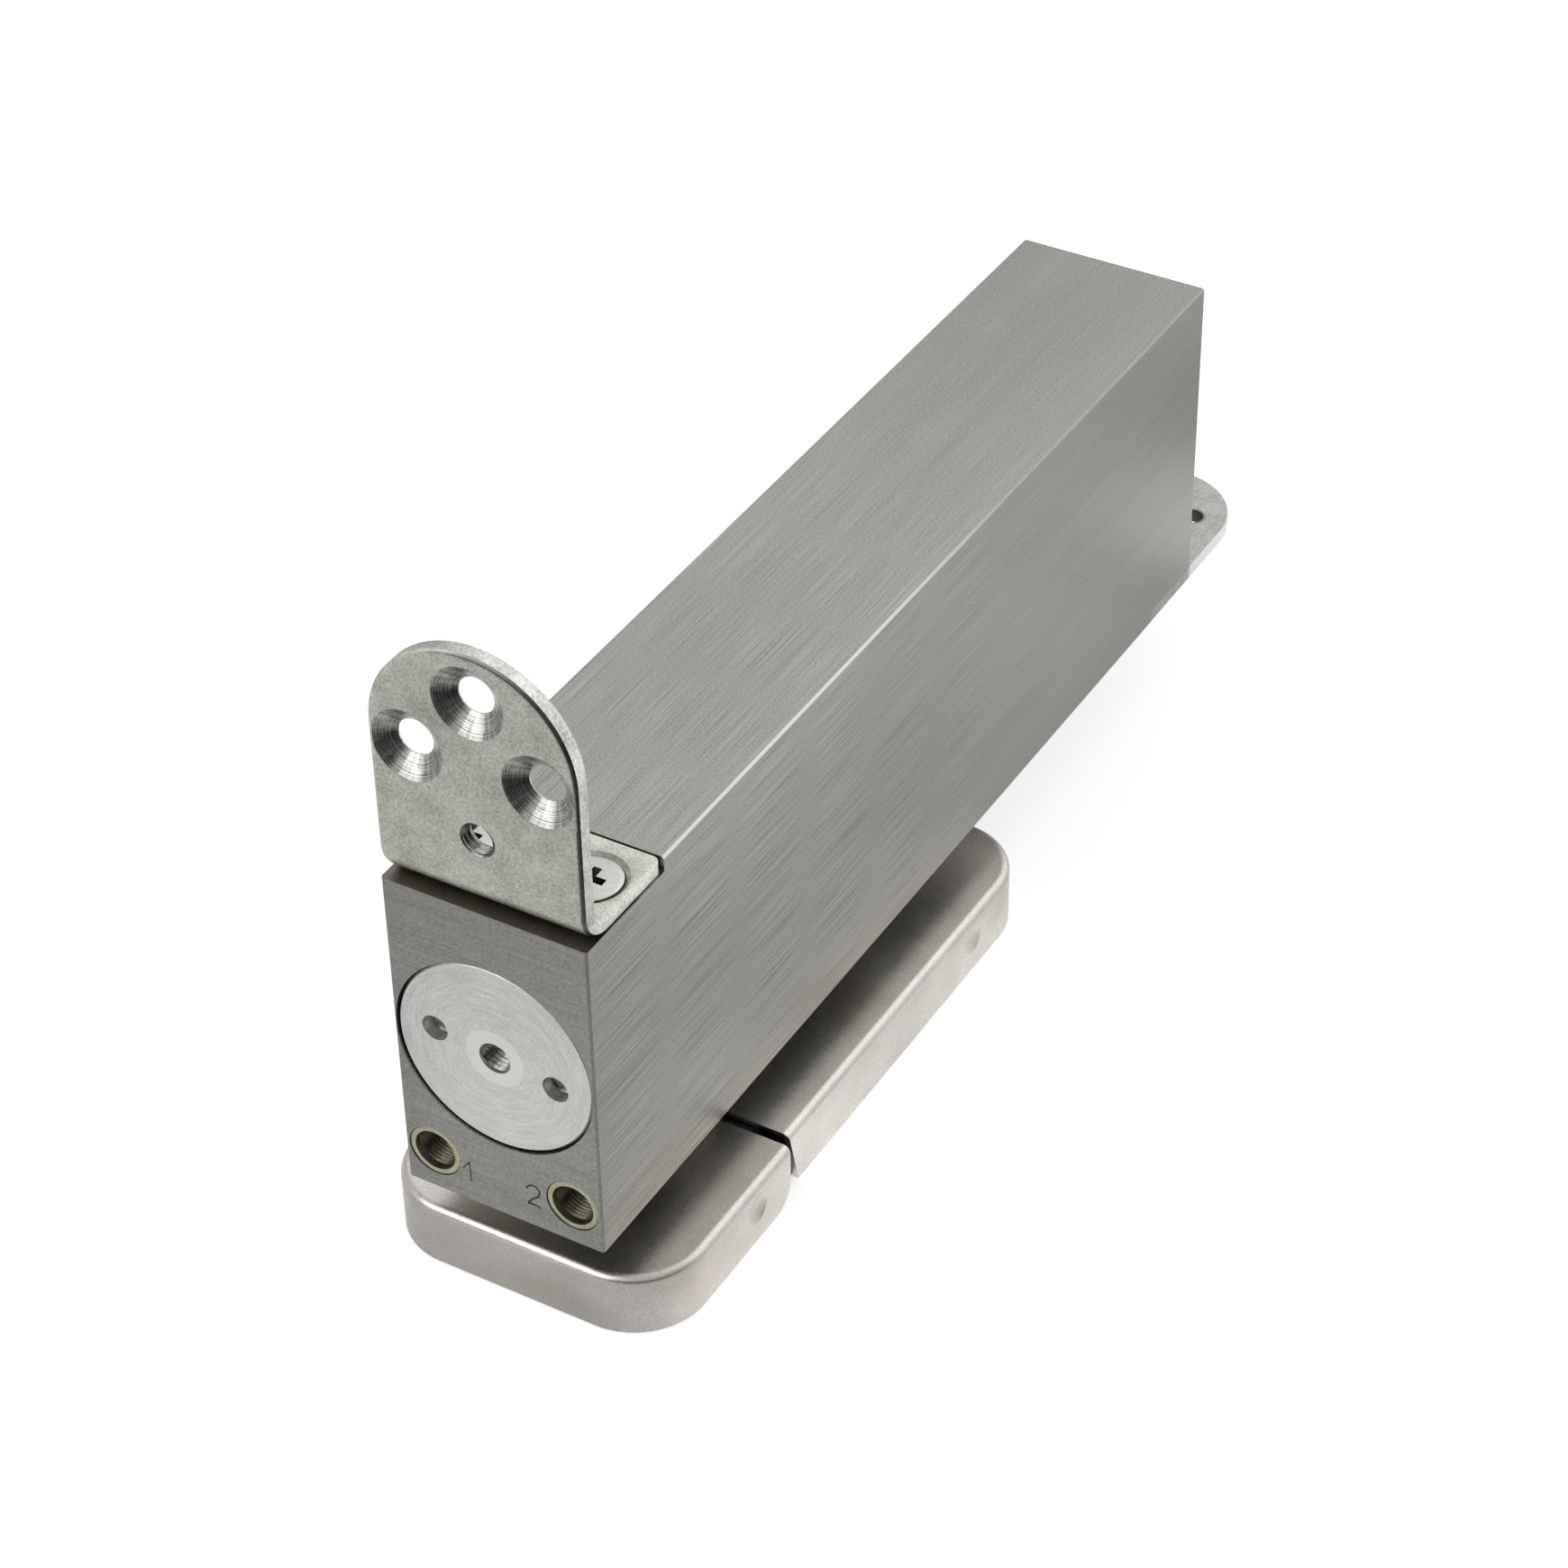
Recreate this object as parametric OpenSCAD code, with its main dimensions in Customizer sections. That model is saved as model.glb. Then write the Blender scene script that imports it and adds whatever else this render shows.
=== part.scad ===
// Concealed hydraulic door closer for the bottom rail of a door.
// The closer body turns about a fixed spindle that stands in a floor plate.
// Frame: +Z up, +Y along the body towards its far end, origin on the spindle axis at floor level.

/* [Closer body] */
// Width of the closer body
body_w = 40; // [40:0.5:60]
// Height of the closer body
body_h = 70; // [66:1:90]
// Length of the closer body
body_l = 228; // [200:1:300]
// Distance from the front face to the spindle axis
spindle_setback = 46; // [45:0.5:60]
// Height of the body's underside above the floor
floor_gap = 20; // [19:0.5:30]
// Chamfer on the body's edges
edge_chamfer = 0.4; // [0.2:0.1:1]

/* [Cylinder] */
// Bore of the oil cylinder
bore_d = 34; // [33:0.5:35]
// Height of the cylinder axis above the underside
bore_height = 35.6; // [34:0.2:38]
// Wall left at the far end of the cylinder
end_wall = 10; // [6:0.5:16]

/* [End cap] */
// Diameter of the cap's visible flange
cap_d = 38.4; // [37.5:0.1:38.8]
// Thickness of the cap's flange
cap_flange_t = 4; // [3:0.1:5]
// Diameter of the cap's threaded part
cap_thread_d = 36; // [35.5:0.1:36.5]
// Distance between the two spanner holes
spanner_pitch = 24; // [20:0.5:26]
// Diameter of the spanner holes
spanner_d = 5.1; // [4:0.1:6]
// Depth of the spanner holes
spanner_depth = 4; // [3:0.5:5]
// Turn of the line through the spanner holes
spanner_turn = -8.2; // [-90:0.1:90]
// Depth of the threaded hole in the cap
cap_hole_depth = 7.5; // [5:0.5:8]

/* [Rack and pinion] */
// Module of the teeth
gear_module = 1.6; // [1.4:0.1:1.6]
// Number of pinion teeth
pinion_teeth = 10; // [9:1:10]
// Pressure angle of the teeth
pressure_angle = 25; // [24:1:28]
// Play between the tooth flanks
backlash = 0.2; // [0.1:0.05:0.4]
// Face width of the pinion
pinion_face = 27; // [20:1:28]
// How far the closer opens, in degrees
open_angle = 130; // [90:5:130]

/* [Spindle] */
// Diameter of the lower journal
lower_journal_d = 16; // [14:0.5:16]
// Diameter of the upper journal
upper_journal_d = 12; // [10:0.5:12]
// Diameter of the collar that carries the body
collar_d = 24; // [22:0.5:28]
// Thickness of the collar
collar_t = 5.2; // [3:0.2:5.4]
// Width of the square foot that stands in the socket
foot_w = 13; // [10:0.5:14]
// Thickness of the thrust washer
washer_t = 1; // [0.6:0.1:1.5]

/* [Bearings] */
// Length of the lower needle bearing
lower_bearing_l = 10; // [8:0.5:10]
// Length of the upper needle bearing
upper_bearing_l = 10; // [8:0.5:10]
// Diameter of the needles
needle_d = 1.96; // [1.8:0.02:2]
// Number of needles in the lower bearing
lower_needle_count = 18; // [12:1:20]
// Number of needles in the upper bearing
upper_needle_count = 14; // [10:1:15]
// Wall of the bearing cups
cup_t = 0.9; // [0.7:0.05:1]
// Length of the shaft seal
seal_l = 4; // [3:0.1:4.2]
// Diameter of the gland nut
gland_d = 26; // [25:0.5:30]
// Thickness of the gland nut
gland_t = 3; // [2.5:0.1:3.5]

/* [Piston] */
// Length of the piston's front head
head_l = 8; // [7:0.1:8]
// Length of the piston's rear head
tail_l = 14; // [10:0.5:20]
// Play between the piston and its bore, on the radius
piston_play = 0.08; // [0.03:0.01:0.1]
// Diameter of the check ball
ball_d = 4; // [3:0.5:4]

/* [Main spring] */
// Diameter of the spring wire
wire_d = 4.6; // [4:0.1:5]
// Outer diameter of the spring
spring_d = 29; // [27:0.5:31]
// Number of active coils
active_coils = 13; // [8:1:13]
// Thickness of the spring seat
seat_t = 4; // [3:0.5:6]

/* [Valves] */
// Distance of each valve from the middle of the body
valve_offset = 14; // [14:0.1:14.5]
// Height of the valves above the underside
valve_height = 8.6; // [8:0.1:9]
// Diameter of the hole round each valve sleeve
valve_hole_d = 10.4; // [10.3:0.1:10.8]
// Outer diameter of the valve sleeves
sleeve_d = 10; // [9:0.1:10.2]
// Bore of the valve sleeves
sleeve_bore_d = 8.2; // [7.5:0.1:8.4]
// Length of the valve sleeves
sleeve_l = 13; // [12.5:0.1:13.2]
// Depth of the adjuster below the sleeve's face
adjuster_depth = 8; // [7:0.1:8]
// Diameter of the oil passages
passage_d = 2.4; // [1.6:0.1:2.4]

/* [Front bracket] */
// Thickness of the bracket
bracket_t = 3; // [2.5:0.1:4]
// Step from the body's side to the bracket's edge
bracket_side_step = 0.2; // [0:0.05:1]
// Outer radius of the bracket's bend
bend_r = 6.3; // [5:0.1:8]
// Height of the arch centre above the body's underside
arch_height = 98.8; // [92:0.1:120]
// Length of the recess that holds the bracket
bracket_recess_l = 23.8; // [22:0.1:28]
// Distance between the paired screw holes
pair_pitch = 24.9; // [20:0.1:26]
// Height of the paired screw holes above the underside
pair_height = 96.6; // [94:0.1:98]
// Height of the top screw hole above the underside
top_hole_height = 109.3; // [108:0.1:111]
// Height of the threaded hole above the underside
tapped_height = 82.2; // [81:0.1:83]
// Diameter of the screw holes
screw_hole_d = 6.8; // [6:0.1:7.4]
// Diameter of the countersinks
countersink_d = 13.6; // [13.2:0.1:14]
// Thread diameter of the tapped holes
tapped_d = 6.2; // [5:0.1:7]

/* [Tail plate] */
// Thickness of the tail plate
tail_t = 3; // [2:0.1:4]
// Step from the body's side to the tail plate's edge
tail_side_step = 0.3; // [0:0.05:1]
// Length of the tail plate beyond the body
tail_reach = 31.3; // [26:0.1:50]
// Length of the tail plate under the body
tail_overlap = 18; // [14:0.5:20]
// Corner radius of the tail plate
tail_r = 16; // [5:0.5:18]
// Distance between the tail plate's holes
tail_pitch = 24.4; // [16:0.1:27]
// Distance of the tail plate's holes beyond the body
tail_hole_reach = 17.1; // [12:0.1:18]
// Diameter of the tail plate's holes
tail_hole_d = 4.8; // [4.2:0.1:8]

/* [Floor plate] */
// Thickness of the floor plate
plate_t = 4; // [3:0.1:4.4]
// Height of the side rails above the floor
rail_h = 11.2; // [9:0.1:11.3]
// Thickness of the side rails
rail_t = 4; // [2:0.1:4.4]
// Half the gap between front and rear rails
rail_gap = 6; // [4:0.5:10]
// Diameter of the floor screw holes
floor_hole_d = 6.6; // [5:0.1:7]
// Distance between the floor screw holes across the plate
floor_pitch_x = 28; // [24:0.5:29]
// Distance of the floor screw holes from the plate's ends
floor_hole_inset = 13; // [11:0.5:15]

/* [Pivot socket] */
// Room between the pivot socket and the side rails
socket_side_gap = 0.95; // [0.4:0.05:2]
// Length of the pivot socket
socket_l = 34; // [33:0.5:38]
// Diameter of the clamp screws
clamp_d = 5; // [4:0.1:5.4]

/* [Covers] */
// Width of the front cover
front_cover_w = 60.3; // [60:0.1:64]
// How much the rear cover is narrower than the front cover, on each side
cover_step = 1.65; // [0:0.05:1.8]
// Height of the cover halves
cover_h = 12.8; // [12.7:0.1:13.2]
// Thickness of the cover sheet
cover_t = 1.2; // [0.8:0.1:1.3]
// Corner radius of the covers
cover_r = 14; // [12:0.5:15]
// Radius of the covers' top edge
cover_edge_r = 1.5; // [1.4:0.1:3]
// Reach of the front cover ahead of the spindle axis
front_reach = 44.6; // [44.6:0.1:50]
// Reach of the rear cover behind the spindle axis
rear_reach = 96.5; // [95:0.1:110]
// Depth of the snap dimples
dimple_depth = 1; // [0.5:0.1:1]

/* [Hidden] */
$fn = 64;
// Overshoot of a cut beyond the face that it opens
eps = 1;
// Overlap where two solids of one piece meet
lap = 0.1;
// Least overlap of two shapes that share a face
touch = 0.01;

// Main levels and ends of the closer body
front_y = -spindle_setback;
rear_y = front_y + body_l;
base_z = floor_gap;
top_z = base_z + body_h;
bore_z = base_z + bore_height;
bore_r = bore_d / 2;
bore_end_y = rear_y - end_wall;
bracket_w = body_w - 2 * bracket_side_step;
tail_w = body_w - 2 * tail_side_step;

// Teeth
pitch_r = gear_module * pinion_teeth / 2;
addendum = 0.8 * gear_module;
root_clearance = 0.25;
tip_r = pitch_r + addendum;
root_r = pitch_r - addendum - root_clearance;
tooth_pitch = PI * gear_module;
piston_travel = pitch_r * open_angle * PI / 180;

// Piston
coil_r = (spring_d - wire_d) / 2;
window_gap = 0.6;
window_rear_y = tip_r + window_gap;
window_front_y = -window_rear_y - piston_travel;
piston_front_y = window_front_y - head_l;
piston_rear_y = window_rear_y + tail_l;
piston_r = bore_r - piston_play;
nose_l = 3;
nose_cut = 2;
ring_w = 2.2;
ring_deep = 2;
ring_wall = 1.4;
ring_play = 0.05;
ring_groove_y = piston_front_y + nose_l + ring_wall;
oil_hole_r = 1.9;
oil_hole_offset = coil_r;
ball_room = 1;
ball_pocket_r = ball_d / 2 + ball_room;
ball_seat_wall = 2.4;
ball_seat_y = window_front_y - ball_seat_wall;
ball_seat_r = ball_d * 0.35;
retainer_t = 1.2;
retainer_r = ball_d * 0.3;
retainer_play = 0.02;
rack_end_wall = 0.8;

// End cap
cap_set = 0.4;
cap_face_y = front_y + cap_set;
cap_clearance = 0.3;
cap_inner_y = piston_front_y - cap_clearance;
cap_edge = 0.3;
cap_l = cap_inner_y - cap_face_y;
cap_gap = 0.4;
thread_play = 0.05;
cap_groove_w = 2.6;
cap_groove_deep = 2.5;
cap_ring_wall = 1.2;
cap_seal_section_r = 1.2;

// Spindle levels
relief_gap = 2.5;
pinion_z0 = bore_z - pinion_face / 2;
pinion_z1 = bore_z + pinion_face / 2;
relief_cut = 0.4;
relief_d = 2 * root_r - relief_cut;
journal_play = 0.05;
collar_z1 = base_z - washer_t;
collar_z0 = collar_z1 - collar_t;
foot_play = 0.05;
washer_play = 0.2;
journal_end_play = 0.4;

// Bearings
lip_t = 0.7;
lip_gap = 0.3;
needle_play = 0.04;
needle_end_play = 0.1;
bearing_gap = 0.2;
bearing_wall = 0.6;
lower_bearing_r = lower_journal_d / 2 + journal_play + needle_d + needle_play + cup_t;
upper_bearing_r = upper_journal_d / 2 + journal_play + needle_d + needle_play + cup_t;
seal_z0 = base_z + gland_t;
lower_bearing_z0 = seal_z0 + seal_l + bearing_gap;
lower_bearing_z1 = lower_bearing_z0 + lower_bearing_l;
upper_bearing_z0 = bore_z + bore_r + bearing_wall;
upper_bearing_z1 = upper_bearing_z0 + upper_bearing_l;
seal_wall = 1.2;
seal_floor = 1.4;
seal_lip_play = 0.1;
seal_lip_w = 0.9;
seal_lip_foot = 0.6;
seal_lip_top = 0.6;
seal_lip_edge = 1.4;
gland_play = 0.3;
gland_notch_inset = 2;
gland_notch_d = 1.6;
gland_notch_deep = 2;

// Valves and their oil passages
valve_z = base_z + valve_height;
sleeve_set = 0.2;
sleeve_y0 = front_y + sleeve_set;
sleeve_y1 = sleeve_y0 + sleeve_l;
adjuster_y0 = sleeve_y0 + adjuster_depth;
adjuster_head_l = 3;
adjuster_play = 0.1;
adjuster_socket_w = 4;
adjuster_socket_deep = 1.8;
stem_d = 4.6;
gallery_d = 5.8;
seat_behind_sleeve = 6;
needle_seat_y = sleeve_y1 + seat_behind_sleeve;
needle_lift = 0.3;
needle_cone_l = 2;
needle_tip_d = 1;
port_before_seat = 3.4;
port_y = needle_seat_y - port_before_seat;
port_entry = 1;
latch_port_inset = 1.5;
latch_port_y = cap_inner_y + latch_port_inset;
rear_port_gap = 6;
rear_port_y = piston_rear_y + piston_travel + rear_port_gap;
plug_d = 3;
plug_l = 3.4;
plug_inset = 0.8;
plug_play = 0.02;
seal_ring_play = 0.05;

// Main spring
spring_end_play = 0.1;
spring_y0 = piston_rear_y + spring_end_play;
spring_y1 = bore_end_y - seat_t - spring_end_play;
end_coils = 1;
closed_gap = 0.6;
seat_play = 0.4;
seat_end_play = 0.05;
rings_per_coil = 12;
wire_sides = 6;
guide_play = 0.3;
guide_r = (spring_d / 2 - wire_d) * cos(180 / rings_per_coil) - guide_play;
guide_l = 6;

// Screws
screw_play = 0.05;
hole_play = 0.1;
land = 0.3;
recess_width_share = 0.65;
recess_depth_share = 0.8;
bracket_screw_r = 3;
bracket_head_r = 5.5;
bracket_cone = (countersink_d - screw_hole_d) / 2 / (bracket_t - land);
bracket_head_t = (bracket_head_r - bracket_screw_r) / bracket_cone;
bracket_screw_x = 12;
bracket_screw_inset = 13.6;
bracket_screw_l = 14;
bracket_screw_sink = (countersink_d / 2 - bracket_head_r) / bracket_cone - screw_play;
mouth_chamfer = 0.6;
bracket_set = 0.3;
bracket_rear_gap = 0.4;
bracket_corner_r = 1.5;
small_screw_r = 2.5;
small_head_r = 4.8;
small_head_t = 2.4;
small_head_gap = 0.3;
small_csk_r = small_head_r + small_head_gap;
small_csk_t = (small_csk_r - small_screw_r - hole_play) * small_head_t / (small_head_r - small_screw_r);
small_sink = 0.2;
tail_screw_x = 12;
tail_screw_l = 12;

// Floor plate, socket and covers
floor_csk_r = floor_hole_d * 0.95;
floor_land = 1;
cover_play = 0.35;
rear_cover_w = front_cover_w - 2 * cover_step;
plate_y0 = -front_reach + cover_t + cover_play;
plate_y1 = rear_reach - cover_t - cover_play;
plate_r = cover_r - cover_t - cover_play;
front_plate_w = front_cover_w - 2 * (cover_t + cover_play);
rear_plate_w = rear_cover_w - 2 * (cover_t + cover_play);
rail_inset = 1;
rail_y0 = plate_y0 + plate_r + rail_inset;
rail_y1 = plate_y1 - plate_r - rail_inset;
rear_rail_inner = rear_plate_w / 2 - rail_inset - rail_t;
socket_w = 2 * (rear_rail_inner - socket_side_gap);
socket_screw_inset = 5.5;
socket_screw_x = socket_w / 2 - socket_screw_inset;
socket_screw_y = socket_l / 2 - socket_screw_inset;
socket_screw_end_gap = 1;
socket_screw_l = rail_h - socket_screw_end_gap;
clamp_z = (plate_t + rail_h) / 2;
clamp_l = 9;
clamp_socket_deep = 3;
clamp_socket_r = clamp_d * 0.29;
front_split_y = -0.8;
rear_split_y = 1.6;
notch_r = 12;
split_corner_r = 5.5;
split_slant = 13.4;
dimple_r = 3.1;
dimple_backing_t = 3;
front_dimple_y = -12.3;
rear_dimple_y = 71.2;
dimple_z = 7.3;

// A cylinder that lies along Y, starting at y
module rod_y(r, y0, y1, x = 0, z = 0) {
    translate([x, y0, z]) rotate([-90, 0, 0]) cylinder(r = r, h = y1 - y0);
}

// A cone that lies along Y
module cone_y(r0, r1, y0, y1, x = 0, z = 0) {
    translate([x, y0, z]) rotate([-90, 0, 0]) cylinder(r1 = r0, r2 = r1, h = y1 - y0);
}

// A washer-like ring that stands on z0
module ring_z(r_out, r_in, z0, z1) {
    translate([0, 0, z0]) difference() {
        cylinder(r = r_out, h = z1 - z0);
        translate([0, 0, -eps]) cylinder(r = r_in, h = z1 - z0 + 2 * eps);
    }
}

// An upright box between two corners
module box(a, b) {
    translate(a) cube(b - a);
}

// A countersunk screw hole or head, wide end up, top face at z = 0
module csk(r_wide, r_hole, t_land, t) {
    translate([0, 0, -t - eps]) cylinder(r = r_hole, h = t + 2 * eps);
    translate([0, 0, -t + t_land]) cylinder(r1 = r_hole, r2 = r_wide, h = t - t_land);
    cylinder(r = r_wide, h = eps);
}

// A countersunk screw, head up, top face at z = 0, with a hexagon recess
module csk_screw(r, r_head, t_head, l) {
    difference() {
        union() {
            translate([0, 0, -t_head]) cylinder(r1 = r, r2 = r_head, h = t_head);
            translate([0, 0, -l]) cylinder(r = r, h = l - t_head + touch);
        }
        translate([0, 0, -t_head * recess_depth_share])
            cylinder(r = r * recess_width_share, h = t_head + eps, $fn = 6);
    }
}

// A block whose edges are chamfered
module chamfered_block(a, b, c) {
    hull() {
        box(a + [c, c, 0], b - [c, c, 0]);
        box(a + [c, 0, c], b - [c, 0, c]);
        box(a + [0, c, c], b - [0, c, c]);
    }
}

// An O-ring round the Y axis
module o_ring_y(r_out, section_r, y, x = 0, z = 0) {
    translate([x, y, z]) rotate([-90, 0, 0]) rotate_extrude()
        translate([r_out - section_r, 0]) circle(r = section_r, $fn = 32);
}

// Involute of the base circle: the angle at which it reaches radius r
function inv_deg(a) = tan(a) * 180 / PI - a;
function flank_deg(r, base_r) = inv_deg(acos(min(1, base_r / r)));
function polar(r, a) = [r * cos(a), r * sin(a)];

// Outline of the pinion, with one tooth pointing along -X
flank_steps = 5;
base_circle_r = pitch_r * cos(pressure_angle);
half_tooth_deg = (tooth_pitch - backlash) / 4 / pitch_r * 180 / PI;
function half_angle(r) =
    half_tooth_deg + inv_deg(pressure_angle) - flank_deg(max(r, base_circle_r), base_circle_r);
function tooth_side(middle, side) = [
    for (i = [0 : flank_steps])
        let (k = side < 0 ? i : flank_steps - i,
             r = base_circle_r + (tip_r - base_circle_r) * k / flank_steps)
        polar(r, middle + side * half_angle(r))
];
function tooth(middle) = concat(
    [polar(root_r, middle - half_angle(root_r))],
    tooth_side(middle, -1),
    tooth_side(middle, 1),
    [polar(root_r, middle + half_angle(root_r))]
);
pinion_outline = [
    for (i = [0 : pinion_teeth - 1]) each tooth(180 + i * 360 / pinion_teeth)
];

// Half widths of a rack space at the tip line and at its floor
rack_root_x = -(tip_r + root_clearance);
rack_tip_x = -(pitch_r - addendum);
rack_half = (tooth_pitch + backlash) / 4;
rack_tip_half = rack_half + addendum * tan(pressure_angle);
rack_root_half = rack_half - (addendum + root_clearance) * tan(pressure_angle);
rack_first = ceil((window_front_y + rack_tip_half + rack_end_wall) / tooth_pitch);
rack_last = floor((window_rear_y - rack_tip_half - rack_end_wall) / tooth_pitch);

// Plate with sockets for the floor screws and two side rails
module floor_plate() {
    color("dimgray") difference() {
        union() {
            linear_extrude(plate_t) plate_outline();
            for (side = [-1, 1]) {
                rail(side * (front_plate_w / 2 - rail_inset), rail_y0, -rail_gap);
                rail(side * (rear_plate_w / 2 - rail_inset), rail_gap, rail_y1);
            }
        }
        for (x = [-1, 1], y = [plate_y0 + floor_hole_inset, plate_y1 - floor_hole_inset])
            translate([x * floor_pitch_x / 2, y, plate_t])
                csk(floor_csk_r, floor_hole_d / 2, floor_land, plate_t);
        at_socket_screws() translate([0, 0, -eps])
            cylinder(r = small_screw_r + screw_play, h = plate_t + 2 * eps);
    }
}

// Outline that follows both covers on the inside
module plate_outline() {
    half_plate(front_plate_w, plate_y0);
    mirror([0, 1]) half_plate(rear_plate_w, -plate_y1);
}

// One end of the plate, rounded at y0 and reaching to the spindle axis
module half_plate(w, y0) {
    for (side = [-1, 1]) translate([side * (w / 2 - plate_r), y0 + plate_r]) circle(r = plate_r);
    translate([-w / 2, y0 + plate_r]) square([w, -y0 - plate_r]);
    translate([-w / 2 + plate_r, y0]) square([w - 2 * plate_r, plate_r + eps]);
}

// Rail whose outer face stands at x
module rail(x, y0, y1) {
    x0 = x > 0 ? x - rail_t : x;
    box([x0, y0, plate_t / 2], [x0 + rail_t, y1, rail_h]);
}

module at_socket_screws() {
    for (x = [-1, 1], y = [-1, 1])
        translate([x * socket_screw_x, y * socket_screw_y, 0]) children();
}

// Block on the floor plate that holds the spindle's square foot
module pivot_socket() {
    color("slategray") difference() {
        box([-socket_w / 2, -socket_l / 2, plate_t], [socket_w / 2, socket_l / 2, rail_h]);
        foot_box(foot_play, plate_t - eps, rail_h + eps);
        for (side = [-1, 1]) rotate([0, side * 90, 0])
            translate([-side * clamp_z, 0, foot_w / 2 - eps])
                cylinder(r = clamp_d / 2 + screw_play, h = socket_w);
        at_socket_screws() translate([0, 0, rail_h])
            csk(small_csk_r, small_screw_r + hole_play,
                rail_h - plate_t - small_csk_t, rail_h - plate_t);
    }
}

module foot_box(play, z0, z1) {
    box([-foot_w / 2 - play, -foot_w / 2 - play, z0], [foot_w / 2 + play, foot_w / 2 + play, z1]);
}

module socket_screws() {
    color("silver") at_socket_screws() translate([0, 0, rail_h - small_sink])
        csk_screw(small_screw_r, small_head_r, small_head_t, socket_screw_l - small_sink);
}

// Two headless screws that clamp the foot from both sides
module clamp_screws() {
    color("dimgray") for (side = [-1, 1]) rotate([0, side * 90, 0])
        translate([-side * clamp_z, 0, foot_w / 2]) difference() {
            cylinder(r = clamp_d / 2, h = clamp_l);
            translate([0, 0, clamp_l - clamp_socket_deep])
                cylinder(r = clamp_socket_r, h = clamp_socket_deep + eps, $fn = 6);
        }
}

// Spindle: square foot, collar, journals and the pinion teeth in one piece
module spindle() {
    color("gainsboro") {
        foot_box(0, plate_t, collar_z0 + lap);
        translate([0, 0, collar_z0]) cylinder(d = collar_d, h = collar_t);
        translate([0, 0, collar_z1 - lap])
            cylinder(d = lower_journal_d, h = lower_bearing_z1 - collar_z1 + lap);
        translate([0, 0, lower_bearing_z1 - lap])
            cylinder(d = relief_d, h = upper_bearing_z0 - lower_bearing_z1 + 2 * lap);
        translate([0, 0, pinion_z0]) linear_extrude(pinion_face) polygon(pinion_outline);
        translate([0, 0, upper_bearing_z0])
            cylinder(d = upper_journal_d, h = upper_bearing_l - journal_end_play);
    }
}

module thrust_washer() {
    color("goldenrod") ring_z(collar_d / 2, lower_journal_d / 2 + washer_play, collar_z1, base_z);
}

// Body block with the cylinder, spindle pockets, valve pockets and oil passages
module housing() {
    color("darkgray") difference() {
        chamfered_block([-body_w / 2, front_y, base_z], [body_w / 2, rear_y, top_z], edge_chamfer);
        bracket_recess();
        tail_recess();
        cylinder_cuts();
        spindle_cuts();
        for (side = [-1, 1]) valve_cuts(side);
        at_bracket_screws() {
            translate([0, 0, -bracket_screw_l])
                cylinder(r = bracket_screw_r + screw_play, h = bracket_screw_l + eps);
            translate([0, 0, -mouth_chamfer]) cylinder(r1 = bracket_screw_r + screw_play,
                r2 = bracket_screw_r + screw_play + mouth_chamfer, h = mouth_chamfer + touch);
        }
        at_tail_screws() translate([0, 0, -eps])
            cylinder(r = small_screw_r + screw_play, h = tail_screw_l + eps);
    }
}

module bracket_recess() {
    box([-body_w / 2 - eps, front_y - eps, top_z - bracket_t],
        [body_w / 2 + eps, front_y + bracket_recess_l, top_z + eps]);
}

module tail_recess() {
    box([-body_w / 2 - eps, rear_y - tail_overlap, base_z - eps],
        [body_w / 2 + eps, rear_y + eps, base_z + tail_t]);
}

module cylinder_cuts() {
    rod_y(bore_r, cap_inner_y - eps, bore_end_y, z = bore_z);
    rod_y(cap_thread_d / 2, front_y - eps, cap_inner_y, z = bore_z);
    rod_y(cap_d / 2 + cap_gap, front_y - eps, cap_face_y + cap_flange_t, z = bore_z);
}

module spindle_cuts() {
    translate([0, 0, base_z - eps]) cylinder(r = lower_bearing_r, h = bore_z - base_z);
    translate([0, 0, base_z - eps]) cylinder(d = gland_d, h = gland_t + eps);
    translate([0, 0, bore_z]) cylinder(r = upper_bearing_r, h = upper_bearing_z1 - bore_z);
}

// Valve pocket, gallery, lengthwise passage and the drillings up to the cylinder
module valve_cuts(side) {
    x = side * valve_offset;
    rod_y(valve_hole_d / 2, front_y - eps, sleeve_y1, x, valve_z);
    rod_y(gallery_d / 2, sleeve_y1 - eps, needle_seat_y, x, valve_z);
    rod_y(passage_d / 2, needle_seat_y - eps, rear_port_y + passage_d / 2, x, valve_z);
    port(x, port_y, side < 0 ? 0 : latch_tilt);
    port(x, rear_port_y, 0);
}

// Tilt of the drilling that reaches the front chamber
bore_side_z = bore_z - sqrt(bore_r * bore_r - valve_offset * valve_offset);
latch_tilt = atan2(port_y - latch_port_y, bore_side_z - valve_z);

module port(x, y, tilt) {
    translate([x, y, valve_z]) rotate([tilt, 0, 0]) {
        mirror([0, 0, 1]) cylinder(d = passage_d, h = (valve_height + eps) / cos(tilt));
        cylinder(d = passage_d, h = (bore_side_z - valve_z) / cos(tilt) + port_entry);
        translate([0, 0, plug_bottom(tilt) - plug_inset - eps])
            cylinder(d = plug_d, h = plug_l + plug_inset + eps);
    }
}

// Where a plug starts below the passage, measured along its drilling
function plug_bottom(tilt) = -valve_height / cos(tilt) + plug_inset;

// Plugs that close the drillings at the underside
module passage_plugs() {
    color("silver") for (side = [-1, 1]) {
        plug(side * valve_offset, port_y, side < 0 ? 0 : latch_tilt);
        plug(side * valve_offset, rear_port_y, 0);
    }
}

module plug(x, y, tilt) {
    translate([x, y, valve_z]) rotate([tilt, 0, 0]) translate([0, 0, plug_bottom(tilt)])
        cylinder(d = plug_d - 2 * plug_play, h = plug_l - plug_play);
}

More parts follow.
